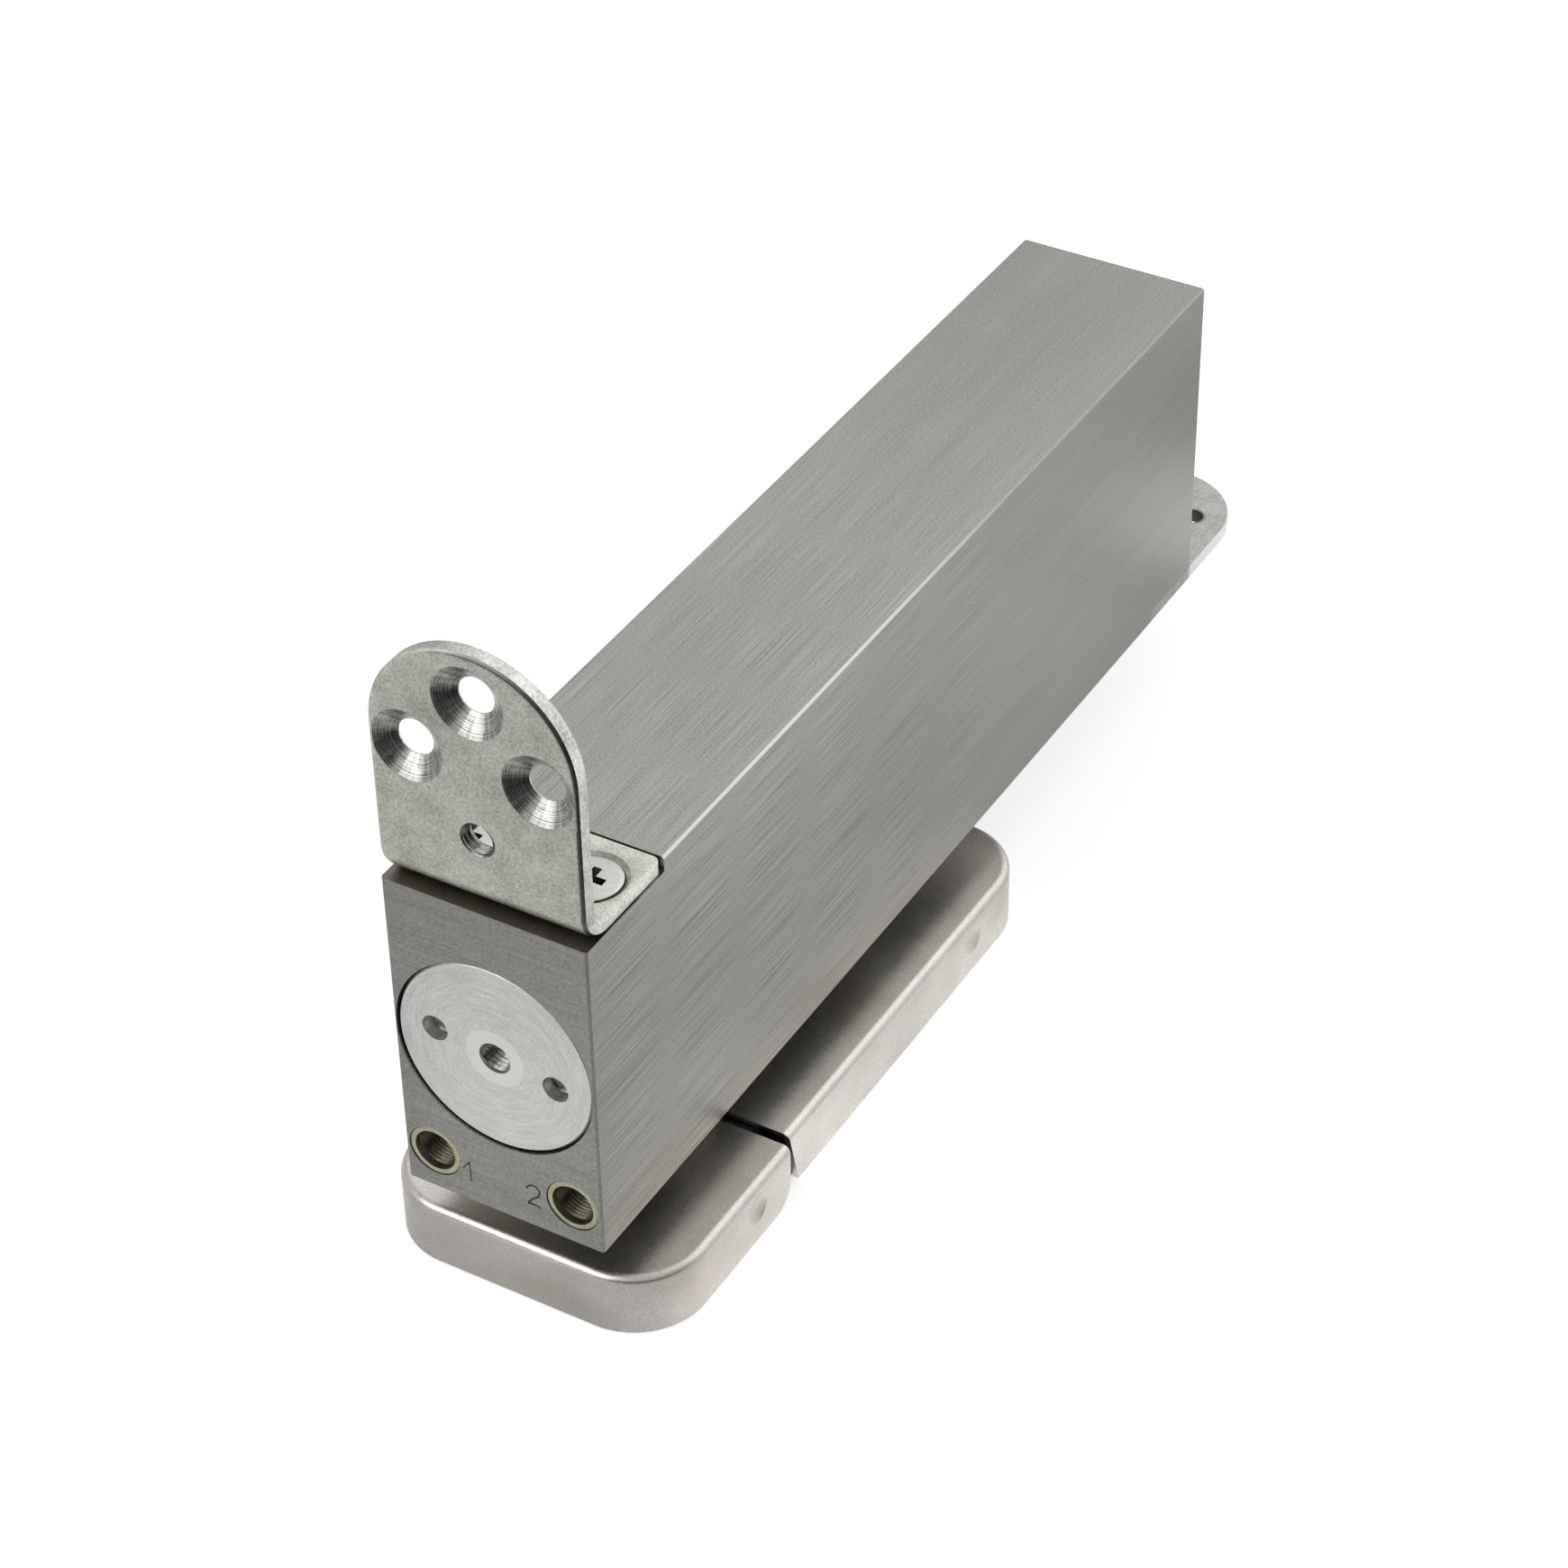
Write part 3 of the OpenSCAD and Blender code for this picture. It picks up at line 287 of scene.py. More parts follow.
block = Look("block_steel", Metallic=1.0)
block_x, block_y, block_z = block.axes()
front_or_end = block.clamp(block.math("LESS_THAN", block_y, (BLOCK_FRONT + 0.1) * MM)
                           + block.math("GREATER_THAN", block_y, (BLOCK_END - 0.1) * MM))
on_top = block.step(block_z, (BLOCK_TOP - 0.4) * MM, (BLOCK_TOP - 0.1) * MM)
fine = belt_lines(block, 6300, 42, front_or_end)
broad = belt_lines(block, 2600, 22, front_or_end)
bands = belt_lines(block, 260, 7, front_or_end)
grit = block.even(2600, 1.0)
handling = block.noise(block.stretched(26, 12, 26), 3.0)
BELT_FAR, BELT_NEAR = 150, 0
near = block.step(block_y, BELT_FAR * MM, BELT_NEAR * MM)
worn = (near * 0.75 + 0.25) * (1 - front_or_end * 0.6) * (1 - on_top * 0.35)
fine = 0.5 + fine.swing(worn)
print("belt lines ready")

# %% [markdown]
# ## Its colour
# The lines change the roughness and the tiny slope of the surface as well as its colour.
# Three colours are laid over the grey, one after the other: painted dark brown shade on the
# milled ledge where it shows beside the bracket, a painted highlight with some worn pale
# metal on the long upper edge, and the dark of a few pits. The top's far half is a little
# darker, as in the photograph. The pale edge and the darker top fade along Y, between two
# named places.
# %% Colour the block
DARKER_FROM, DARKER_TO = 60, 180
WORN_SHINE_FROM, WORN_SHINE_TO = 110, 40
LEDGE_SHADE_END = -30
CORNER = BLOCK_RIGHT + BLOCK_TOP
grain = block.clamp(fine.swing(3.3) + broad.swing(worn) * 0.2 + bands.swing(0.3)
                    + handling.swing(0.45) + grit.swing(1.2) + 0.5)
far_top = block.step(block_y, DARKER_FROM * MM, DARKER_TO * MM) * on_top
grain = grain - far_top * 0.22
# Painted shade: the milled ledge beside the bracket is coloured dark brown, as if the bracket shaded
# it.
ledge_shade = (block.math("COMPARE", block_z, LEDGE_Z * MM, 0.05 * MM)
         * block.math("LESS_THAN", block_y, LEDGE_SHADE_END * MM))
# Painted highlight, with some worn metal: the long upper edge is coloured pale, fading along Y.
edge = (block.step(block_x + block_z, (CORNER - 0.5) * MM, (CORNER - 0.42) * MM)
        * block.step(block_y, WORN_SHINE_FROM * MM, WORN_SHINE_TO * MM))
block.set(Base_Color=block.tint((0.25, 0.244, 0.226), (0.50, 0.492, 0.460), grain),
          Roughness=0.30 + fine.swing(0.2) + handling.swing(0.08))
block.cover((0.17, 0.155, 0.13), ledge_shade * 0.85)
block.cover((0.80, 0.79, 0.76), edge * 0.65)
block.cover((0.06, 0.055, 0.05), block.pits(110, 0.022, 0.014) * 0.7)
block.bump(fine * 0.8 + broad * 0.1 + grit * 0.2, 0.22, 0.00013)
paint(block.material, "housing")
print("block steel ready")

# %% [markdown]
# ## Zinc plating
# The bracket, the tail plate and the screws are punched or turned from plain steel and
# zinc plated. The plating is a greenish grey that looks soft and mottled, because its
# crystals differ from spot to spot. Two sizes of noise give the mottling: clouds of a few
# millimetres and a grain of less than one. The same function, with other colours, serves
# every small part without a direction in its finish: it takes the dark and the light end
# of the colour, and the roughness.
# %% Plate with zinc
def mottled(name, dark, light, rough):
    look = Look(name, Metallic=1.0)
    clouds = look.even(210, 3.0, 0.6)
    grain = look.even(1900, 2.0, 0.65)
    amount = look.clamp(clouds.swing(1.35) + grain.swing(2.3) + 0.55)
    look.set(Base_Color=look.tint(dark, light, amount),
             Roughness=rough + grain.swing(0.2) + clouds.swing(0.12))
    return look.bump(clouds * 0.4 + grain * 0.6, 0.45, 0.00007)


zinc = mottled("zinc_plate", (0.47, 0.476, 0.418), (0.88, 0.89, 0.79), 0.42).material
edge_zinc = mottled("punched_edge", (0.42, 0.42, 0.395), (0.86, 0.86, 0.82), 0.38).material
# The thread's zinc is much darker than the plating: painted shade inside the tapped hole.
thread_zinc = mottled("thread_zinc", (0.14, 0.145, 0.13), (0.34, 0.345, 0.32), 0.3).material
paint(zinc, "front_bracket")
print("zinc ready")

# %% [markdown]
# ## The bracket's rolled edge
# Where the punch rolled the sheet's edge over, the plating is smoother. In the photograph it
# goes from bright at the left of the arch to nearly black at the right, because there it
# mirrors the dark room. That is too fine a thing for the room's own light, so a dark tone is
# laid over the plating, growing from left to right.
# %% Darken the rolled edge
rolled = mottled("rolled_edge", (0.44, 0.446, 0.392), (0.86, 0.87, 0.77), 0.34)
rolled.cover((0.16, 0.16, 0.148), rolled.step(rolled.axes()[0], -13 * MM, 3 * MM) * 0.9)
roll_zinc = rolled.material
print("rolled edge ready")

# %% [markdown]
# ## The tail plate
# The plate under the far end is a duller zinc. Its cut edge, beyond the block's end, gets a
# painted highlight in near white, and its two screw holes get painted shade inside. Both are
# told by their place: the edge because it lies lower than the plate's top, the holes by the
# distance from their middles. The absolute value of x makes one rule serve both holes.
# %% Plate the tail
TAIL_HOLE_X, TAIL_HOLE_Y, TAIL_HOLE_R = 12.2, 199.1, 3.3
TAIL_TOP = corners("tail_plate")[1][2]
tail = mottled("plain_zinc", (0.37, 0.37, 0.356), (0.63, 0.63, 0.607), 0.5)
tail_x, tail_y, tail_z = tail.axes()
cut_edge_highlight = (tail.step(tail_z, (TAIL_TOP - 0.03) * MM, (TAIL_TOP - 0.1) * MM)
            * tail.step(tail_y, (BLOCK_END - 0.2) * MM, (BLOCK_END + 1) * MM))
aside = tail.math("ABSOLUTE", tail_x) - TAIL_HOLE_X * MM
behind = tail_y - TAIL_HOLE_Y * MM
from_hole = tail.math("SQRT", aside * aside + behind * behind)
# Painted highlight: the cut edge is coloured near white.
tail.cover((0.97, 0.97, 0.96), cut_edge_highlight)
# Painted shade: the walls of the screw holes are coloured dark.
tail.cover((0.20, 0.20, 0.19), tail.step(from_hole, TAIL_HOLE_R * MM, 2.4 * MM))
paint(tail.material, "tail_plate")
print("tail plate ready")

# %% [markdown]
# ## Marks of a lathe
# What a lathe or a countersink has cut carries rings round its axis, and fainter marks
# that sweep round with the tool. Rings are noise that reads only the distance from the
# axis. Sweeping marks are noise that reads the distance and the angle, so that it follows
# circles. All round shapes that show such marks here have their axis along Y.
# %% Turn on a lathe
def from_axis(look, x, z):
    """Distance from a line along Y through x, z, in metres."""
    made = look.node("ShaderNodeMapping",
                     {"Vector": look.place, "Location": (-x, 0, -z), "Scale": (1, 0, 1)})
    size = look.node("ShaderNodeVectorMath", {0: made.outputs[0]}, operation="LENGTH")
    return Value(look, size.outputs["Value"])


def rings(look, distance, per_metre):
    made = look.node("ShaderNodeTexNoise",
                     {"W": distance * per_metre, "Scale": 1.0, "Detail": 2.0},
                     noise_dimensions="1D")
    return Value(look, made.outputs["Fac"])


def sweeps(look, x, z, across, along, detail=2.0):
    """Noise whose marks lie on circles round a line along Y through x, z."""
    place_x, place_y, place_z = look.axes()
    angle = look.math("ARCTAN2", place_z - z, place_x - x)
    made = look.node("ShaderNodeCombineXYZ", {0: from_axis(look, x, z) * across,
                                              1: angle * along, 2: place_y * across})
    return look.noise(made.outputs[0], detail)


print("lathe marks ready")

# %% [markdown]
# ## Bare cones
# The cones of the three countersinks were cut after the sheet was rolled, so they are
# barer than the plating and carry the rings of the cutter. One material serves all three:
# inside the mouth of each hole, the marks are those round its own axis. The two cones in
# the flat leg, which the screws fill, have the same finish without rings.
# %% Cut the cones bare
CONE = 6.8
HOLES = [(-12.45, 116.6), (12.45, 116.6), (0, 129.3)]
cones = Look("cut_zinc", Metallic=1.0)
cutter_marks = 0.5
for hole_x, hole_z in HOLES:
    away = from_axis(cones, hole_x * MM, hole_z * MM)
    both = (rings(cones, away, 5600) * 0.55
            + sweeps(cones, hole_x * MM, hole_z * MM, 90, 5.0) * 0.45)
    inside = cones.step(away, (CONE + 0.5) * MM, (CONE + 0.3) * MM)
    cutter_marks = between(cutter_marks, both, inside)
cone_shade = cones.clamp(cutter_marks.swing(2.4) + cones.even(900) * 0.6 + 0.12)
cones.set(Base_Color=cones.tint((0.14, 0.143, 0.13), (0.92, 0.93, 0.865), cone_shade),
          Roughness=0.2 + cutter_marks * 0.14)
cones.bump(cutter_marks, 0.5, 0.00013)
cut_zinc = cones.material
print("cones ready")

# %% [markdown]
# ## Helpers for new pieces
# Every new piece is made as a mesh in its final place, with its object at the origin, so
# that patterns on Object coordinates stay where they are. It rides on a body of the
# imported model and takes the materials that it is given. Curved faces
# are smooth, and edges sharper than a set angle stay crisp.
# %% Add a piece
def add(name, mesh, body, slot, *materials, sharp=35, replaces=None):
    piece = bpy.data.objects.new(name, mesh)
    bpy.context.scene.collection.objects.link(piece)
    for material in materials:
        mesh.materials.append(material)
    mesh.shade_smooth()
    mesh.set_sharp_from_angle(angle=math.radians(sharp))
    if replaces:
        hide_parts(replaces)
    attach(piece, body)
    print(name, "faces:", len(mesh.polygons))


def solid(points, faces, name="solid"):
    """A mesh whose doubles are merged and whose faces point outwards."""
    mesh = bpy.data.meshes.new(name)
    mesh.from_pydata(points, [], faces)
    shape = bmesh.new()
    shape.from_mesh(mesh)
    bmesh.ops.remove_doubles(shape, verts=shape.verts, dist=1e-7)
    bmesh.ops.recalc_face_normals(shape, faces=shape.faces)
    shape.to_mesh(mesh)
    shape.free()
    return mesh


print("pieces can be added")

# %% [markdown]
# ## Turning and boring
# Screws, drills and countersinks are round, so one function turns an outline round an axis,
# as a lathe does. Another takes such a tool's shape out of a mesh with a Boolean modifier,
# which is exact and leaves the tool's own material on the faces that it cuts.
# %% Turn and bore
def lathe(profile, place, axis="Z", sides=72):
    """Turn an outline of (radius, height) in mm. Height is up, or out of the front for Y."""
    lean = 0 if axis == "Z" else math.radians(90)
    spot = (Matrix.Translation(Vector(place) * MM) @ Matrix.Rotation(lean, 4, "X")
            @ Matrix.Scale(MM, 4))
    points, faces, count = [], [], len(profile)
    for i in range(sides):
        angle = 2 * math.pi * i / sides
        points += [spot @ Vector((r * math.cos(angle), r * math.sin(angle), h)) for r, h in profile]
    for i in range(sides):
        j = (i + 1) % sides
        for k in range(count):
            m = (k + 1) % count
            if profile[k][0] > 0 or profile[m][0] > 0:
                faces.append((i * count + k, j * count + k, j * count + m, i * count + m))
    return solid(points, faces)


def cut(mesh, *tools):
    """Take the tools' shapes out of a mesh. The cut faces keep the tools' materials."""
    holder = bpy.data.objects.new("holder", mesh)
    bpy.context.scene.collection.objects.link(holder)
    helpers = []
    for tool in tools:
        helper = bpy.data.objects.new("tool", tool)
        bpy.context.scene.collection.objects.link(helper)
        helpers.append(helper)
        modifier = holder.modifiers.new("cut", "BOOLEAN")
        modifier.operation, modifier.solver, modifier.object = "DIFFERENCE", "EXACT", helper
        modifier.material_mode = "TRANSFER"
    result = bpy.data.meshes.new_from_object(
        holder.evaluated_get(bpy.context.evaluated_depsgraph_get()))
    for made in [holder, *helpers]:
        bpy.data.objects.remove(made)
    return result


print("lathe and cutter ready")

# %% [markdown]
# ## The angle bracket
# The bracket is punched from 3 mm sheet and then bent. The punch rolls the sheet's edge
# over on the side where it enters, and leaves a rough bright band where the metal tore.
# Both show in the photograph, so the CAD bracket, whose edges are sharp, is replaced by
# one with these edges. It is made as the real one is: a flat outline in (across, along),
# and then a bend that sends each (across, along, deep) to its place in the room. BEND is
# the bend's outer radius, and ARC is the length of the bend in the middle of the sheet.
# %% Bend the sheet
THICK, BEND, LEG_CORNER = 3.0, 6.3, 1.5
WIDTH = bracket_high[0] - bracket_low[0]
FACE_Y, BEND_Y = bracket_low[1], bracket_low[1] + BEND
BEND_Z, ARCH_Z = bracket_low[2] + BEND, bracket_high[2] - WIDTH / 2
LEG = bracket_high[1] - BEND_Y
ARC = math.pi / 2 * (BEND - THICK / 2)
ARCH = ARC + ARCH_Z - BEND_Z


def bend(across, along, deep):
    """Along is 0 where the bend starts, below 0 on the flat leg and past ARC on the upright."""
    if along < 0:
        return across, BEND_Y - along, BEND_Z - BEND + deep
    if along > ARC:
        return across, FACE_Y + deep, BEND_Z + along - ARC
    turned = math.pi / 2 * along / ARC
    return (across, BEND_Y - (BEND - deep) * math.sin(turned),
            BEND_Z - (BEND - deep) * math.cos(turned))


def half_outline(inset):
    """Right half of the outline, from the leg's end up to the top of the arch."""
    half, corner = WIDTH / 2 - inset, max(LEG_CORNER - inset, 0.3)
    end = -LEG + inset
    points = [(half - corner + corner * math.sin(a), end + corner - corner * math.cos(a))
              for a in [math.pi / 12 * k for k in range(7)]]
    straight = [-9] + [ARC * k / 16 for k in range(17)] + [ARC + 9, ARC + 18]
    points += [(half, v) for v in straight]
    points += [(half * math.cos(a), ARCH + half * math.sin(a))
               for a in [math.pi / 80 * k for k in range(40)]]
    return points + [(0.02, ARCH + half)]


print("bend at y, z:", round(BEND_Y, 3), round(BEND_Z, 3), "arch at z:", round(ARCH_Z, 3))

# %% [markdown]
# ## Its rolled edge
# The edge is a stack of outlines, each a little further out or in and a little deeper in
# the sheet: first the roll where the punch went in, then the straight tear, then a tiny
# bevel at the back. Walls join one outline to the next, and the first and the last
# outline are filled, which closes the solid.
# %% Roll the edge
ROLL, STEEP = 1.25, math.radians(38)
BOW = ROLL / math.sin(STEEP)
levels = [(ROLL + 0.2, 0)]
levels += [(ROLL - BOW * math.sin(a), BOW * (1 - math.cos(a)))
           for a in [STEEP / 7 * k for k in range(8)]]
levels += [(0, BOW * (1 - math.cos(STEEP)) + 0.06)]
levels += [(0, 2.84), (0.05, 2.95), (0.14, THICK), (0.4, THICK)]
points, faces = [], []
for inset, deep in levels:
    right_half = half_outline(inset)
    for sign, path in ((1, right_half), (-1, right_half[::-1])):
        points += [Vector(bend(sign * across, along, deep)) * MM for across, along in path]
around = 2 * len(right_half)
for k in range(len(levels) - 1):
    for i in range(around):
        j = (i + 1) % around
        faces.append((k * around + i, k * around + j, (k + 1) * around + j, (k + 1) * around + i))
for first in (0, (len(levels) - 1) * around):
    for i in range(len(right_half) - 1):
        faces.append((first + i, first + i + 1, first + around - 2 - i, first + around - 1 - i))
sheet = solid(points, faces, "bracket")
for material in (zinc, edge_zinc, roll_zinc):
    sheet.materials.append(material)
print("sheet faces:", len(sheet.polygons))

# %% [markdown]
# ## Its holes
# Three countersunk holes and a tapped hole go through the upright leg, and two countersunk
# holes through the flat one. A cutter is turned as a lathe would turn it, with a small
# rounding at the mouth, and taken out of the sheet. The rounding catches the light as a
# thin ring, as on the real bracket.
# %% Cut the bracket's holes
NARROW, LAND = 3.4, 0.3
SCREWS = [(-12, -32.4), (12, -32.4)]
TAPPED_Z, TAPPED_R, TAPPED_MOUTH = 102.2, 3.1, 3.35


def countersink(place, axis):
    slope = (CONE - NARROW) / (THICK - LAND)
    profile = [(0, -THICK - 1), (NARROW, -THICK - 1), (NARROW, -THICK + LAND),
               (CONE - 0.12 * slope, -0.12), (CONE + 0.02, -0.03), (CONE + 0.1, 0.01),
               (CONE + 0.1, 0.5), (0, 0.5)]
    tool = lathe(profile, place, axis, 96)
    tool.materials.append(cut_zinc)
    return tool


cutters = [countersink((x, FACE_Y, z), "Y") for x, z in HOLES]
cutters += [countersink((x, y, BLOCK_TOP), "Z") for x, y in SCREWS]
bore = [(0, -4), (3.3, -4), (TAPPED_R, -2.8), (TAPPED_R, -0.25), (TAPPED_MOUTH, 0),
        (TAPPED_MOUTH, 0.5), (0, 0.5)]
tapped = lathe(bore, (0, FACE_Y, TAPPED_Z), "Y", 64)
tapped.materials.append(thread_zinc)
punched = cut(sheet, *cutters, tapped)
print("bracket faces:", len(punched.polygons))

# %% [markdown]
# ## Its finishes
# The faces near the rim get the finish of the roll or of the torn band, by how far out and
# how deep in the sheet they lie. The roll's finish is kept to the upright leg and its arch,
# where the photograph shows it. Faces that a cutter has made keep the cutter's finish.
# %% Give the rim its own finish
PLATED, TORN, ROLLED = range(3)
for face in punched.polygons:
    x, y, z = face.center / MM
    reach = math.hypot(x, z - ARCH_Z) if z > ARCH_Z else abs(x)
    deep = y - FACE_Y if z > BEND_Z else BEND - math.hypot(y - BEND_Y, z - BEND_Z)
    if face.material_index != PLATED:
        continue
    if y < BEND_Y and reach > WIDTH / 2 - 0.62 and deep < 0.5:
        face.material_index = ROLLED
    elif reach > WIDTH / 2 - 0.04:
        face.material_index = TORN
add("angle_bracket", punched, "closer", "zinc_plated", sharp=28, replaces="front_bracket")

# %% [markdown]
# ## A tree that grows pieces
# What repeats or follows a path by a rule is made by Geometry Nodes. The tree's inputs are
# the sizes that a maker would name, each with its own socket. Every piece that grows here
# grows upwards, so the last steps are the same: lay it into the front face, move it to its
# place, and turn it into real faces with a material.
# %% Wrap Geometry Nodes
class Grower(Wiring):
    """A Geometry Nodes tree with named inputs."""

    def __init__(self, name, **inputs):
        super().__init__(bpy.data.node_groups.new(name, "GeometryNodeTree"))
        kinds = {float: "NodeSocketFloat", int: "NodeSocketInt", tuple: "NodeSocketVector",
                 bpy.types.Material: "NodeSocketMaterial"}
        for label, value in inputs.items():
            made = self.tree.interface.new_socket(label, in_out="INPUT",
                                                  socket_type=kinds[type(value)])
            made.default_value = value
        self.tree.interface.new_socket("Geometry", in_out="OUTPUT",
                                       socket_type="NodeSocketGeometry")
        self.inputs = self.node("NodeGroupInput").outputs

    def finish(self, geometry):
        laid = self.node("GeometryNodeTransform",
                         {"Geometry": geometry, "Translation": self.inputs["Place"],
                          "Rotation": Euler((math.radians(-90), 0, 0))})
        real = self.node("GeometryNodeRealizeInstances", {0: laid.outputs[0]})
        coated = self.node("GeometryNodeSetMaterial",
                           {"Geometry": real.outputs[0], "Material": self.inputs["Material"]})
        self.node("NodeGroupOutput", {0: coated.outputs[0]})

    def grow(self, name, body, slot, **values):
        holder = bpy.data.objects.new("holder", bpy.data.meshes.new("empty"))
        bpy.context.scene.collection.objects.link(holder)
        modifier = holder.modifiers.new("grow", "NODES")
        modifier.node_group = self.tree
        for item in self.tree.interface.items_tree:
            if item.in_out == "INPUT" and item.name in values:
                modifier[item.identifier] = values[item.name]
        mesh = bpy.data.meshes.new_from_object(
            holder.evaluated_get(bpy.context.evaluated_depsgraph_get()))
        holder.modifiers.clear()
        bpy.data.objects.remove(holder)
        add(name, mesh, body, slot, sharp=50)


print("growers ready")

# %% [markdown]
# ## Threads
# A tapped hole shows two or three bright crests on its lower wall. A thread follows a
# rule: a spiral of the hole's radius, with a four-sided profile swept along it. Half of the
# profile sinks into the wall and half stands out as the crest.
# %% Grow threads
thread = Grower("thread", Radius=3.14 * MM, Pitch=1.0 * MM, Turns=3.0, Crest=0.5 * MM,
                Place=(0.0, 0.0, 0.0), Material=thread_zinc)
height = Value(thread, thread.inputs["Pitch"]) * Value(thread, thread.inputs["Turns"])
spiral = thread.node("GeometryNodeCurveSpiral",
                     {"Resolution": 56, "Rotations": thread.inputs["Turns"],
                      "Start Radius": thread.inputs["Radius"],
                      "End Radius": thread.inputs["Radius"], "Height": height})
upright = thread.node("GeometryNodeSetCurveNormal", {0: spiral.outputs[0]}, mode="Z_UP")
diamond = thread.node("GeometryNodeCurvePrimitiveCircle",
                      {"Resolution": 4, "Radius": thread.inputs["Crest"]})
swept = thread.node("GeometryNodeCurveToMesh",
                    {"Curve": upright.outputs[0], "Profile Curve": diamond.outputs[0],
                     "Fill Caps": True})
thread.finish(swept.outputs[0])
thread.grow("bracket_thread", "closer", "zinc_plated", Turns=2.3, Crest=0.46 * MM,
            Place=(0, (FACE_Y + 0.35) * MM, TAPPED_Z * MM))

# %% [markdown]
# ## The bracket's screws
# Two countersunk screws hold the flat leg. Their pale heads sit a little below the sheet,
# with a thin dark gap round them and a cross recess. Head and shank are one turned
# outline, and the recess is two tapered blades, cut one after the other.
# %% Shape the cross recess
RECESS_DEEP = 2.3
RECESS_TOP = (3.15, 0.85)
RECESS_FOOT = (1.3, 0.55)


def blade(place, turned):
    """A tapered blade, by half its length and half its width at the top and at the foot."""
    points = []
    for (a, b), h in ((RECESS_TOP, 0.4), (RECESS_FOOT, -RECESS_DEEP)):
        rectangle = [(a, b), (-a, b), (-a, -b), (a, -b)]
        points += [Vector((-y if turned else x, x if turned else y, h)) for x, y in rectangle]
    points = [(p + Vector(place)) * MM for p in points]
    sides = [(i, (i + 1) % 4, (i + 1) % 4 + 4, i + 4) for i in range(4)]
    return solid(points, [(0, 1, 2, 3), (4, 5, 6, 7)] + sides)


print("recess blade ready")

# %% [markdown]
# ## Their heads
# The gap round a head gets painted brown shade: the faces of the head's outer rim that lie
# deeper than its edge are coloured dark brown. The blades carry the painted dark shade of
# the recess, and the cut leaves it on the recess's walls.
# %% Turn the screws
HEAD_TOP, HEAD_EDGE = BLOCK_TOP - 0.18, 5.5
screw_zinc = mottled("screw_zinc", (0.55, 0.545, 0.52), (0.70, 0.695, 0.67), 0.30).material
brown_rim = mottled("brown_rim", (0.10, 0.075, 0.062), (0.26, 0.21, 0.18), 0.4).material
recess_dark = mottled("recess_dark", (0.05, 0.044, 0.038), (0.13, 0.115, 0.10), 0.5).material
head = [(0, 0.06), (2.5, 0.05), (4.9, 0.0), (5.6, -0.05), (5.8, -0.16), (5.84, -0.32),
        (5.82, -0.55), (3.0, -2.78), (2.95, -14.2), (2.5, -14.75), (0, -14.75)]
for number, (screw_x, screw_y) in enumerate(SCREWS, 1):
    place = (screw_x, screw_y, HEAD_TOP)
    screw = lathe(head, place)
    for material in (screw_zinc, brown_rim):
        screw.materials.append(material)
    for face in screw.polygons:
        middle = face.center / MM - Vector(place)
        # Painted shade: the rim's deep faces take the dark brown colour.
        face.material_index = int(middle.z < -0.2 and math.hypot(middle.x, middle.y) > HEAD_EDGE)
    blades = [blade(place, turned) for turned in (False, True)]
    # Painted shade: the recess walls take a near-black colour.
    for tool in blades:
        tool.materials.append(recess_dark)
    add(f"bracket_screw_{number}", cut(screw, *blades), "closer", "screw_zinc", sharp=30,
        replaces="bracket_screws" if number == 1 else None)

# %% [markdown]
# ## Turned aluminium for the cap
# The end cap is faced on a lathe, so its marks lie on circles round its middle. They are
# faint, and break up where the tool chattered. Round the tapped hole a paler ring is left
# where a washer or a spanner's foot pressed. A few small pores show as dark dots.
# %% Face the cap
cap_low, cap_high = corners("end_cap")
CAP_Y, BORE_Z = cap_low[1], (cap_low[2] + cap_high[2]) / 2
cap = Look("turned_aluminium", Metallic=1.0)
tool_marks = sweeps(cap, 0, BORE_Z * MM, 2900, 3.5)
chatter = sweeps(cap, 0, BORE_Z * MM, 700, 1.4, 1.0)
haze = cap.even(150, 3.0)
speckle = cap.even(2300, 1.0)
pale = cap.step(from_axis(cap, 0, BORE_Z * MM), 6.0 * MM, 5.5 * MM)
shade = cap.clamp(tool_marks.swing(1.5) + chatter.swing(0.6) + haze.swing(0.6)
                  + speckle.swing(1.3) + 0.5)
shade = between(shade, 1.0 + shade.swing(0.25), pale * 0.95)
cap.set(Base_Color=cap.tint((0.70, 0.70, 0.68), (0.99, 0.99, 0.965), cap.clamp(shade)),
        Roughness=0.42 + tool_marks.swing(0.16) + speckle.swing(0.1))
cap.cover((0.12, 0.11, 0.10), cap.pits(150, 0.030, 0.018) * 0.8)
cap.bump(tool_marks * 0.8 + speckle * 0.4, 0.4, 0.00012)
paint(cap.material, "end_cap")
print("cap ready, its middle at z:", round(BORE_Z, 3))

# %% [markdown]
# ## Drill points and the cap's thread
# A twist drill leaves a cone at the bottom of a blind hole. The CAD holes end flat, so a
# small dish with a conical hollow is laid in each of the two spanner holes and in the tapped
# hole. The two spanner holes lie on a line through the middle that is not quite level,
# because a cap stops where its thread is tight. The thread comes from the same tree.
# %% Fill the cap's holes
SPANNER_R, SPANNER_TILT = 12, math.radians(-8.2)
SPANNER_HOLE_R, SPANNER_HOLE_DEEP = 2.55, 4.0
CAP_HOLE_R, CAP_HOLE_DEEP = 3.1, 7.5
POINT_SLOPE = math.tan(math.radians(31))
# The dishes and the cap's thread get a much darker aluminium: painted shade in the holes.
hole_shade_alloy = mottled("drilled_aluminium", (0.15, 0.146, 0.136), (0.46, 0.45, 0.43), 0.26).material


def drill_point(name, x, z, r, deep):
    """A dish at the bottom of a hole that is bored along +Y from the cap's face."""
    rise = r * POINT_SLOPE
    profile = [(0, -deep), (r + 0.02, -deep), (r + 0.02, -deep + rise), (0, -deep + 0.02)]
    add(name, lathe(profile, (x, CAP_Y, z), "Y", 48), "closer", "cap_aluminium", hole_shade_alloy)


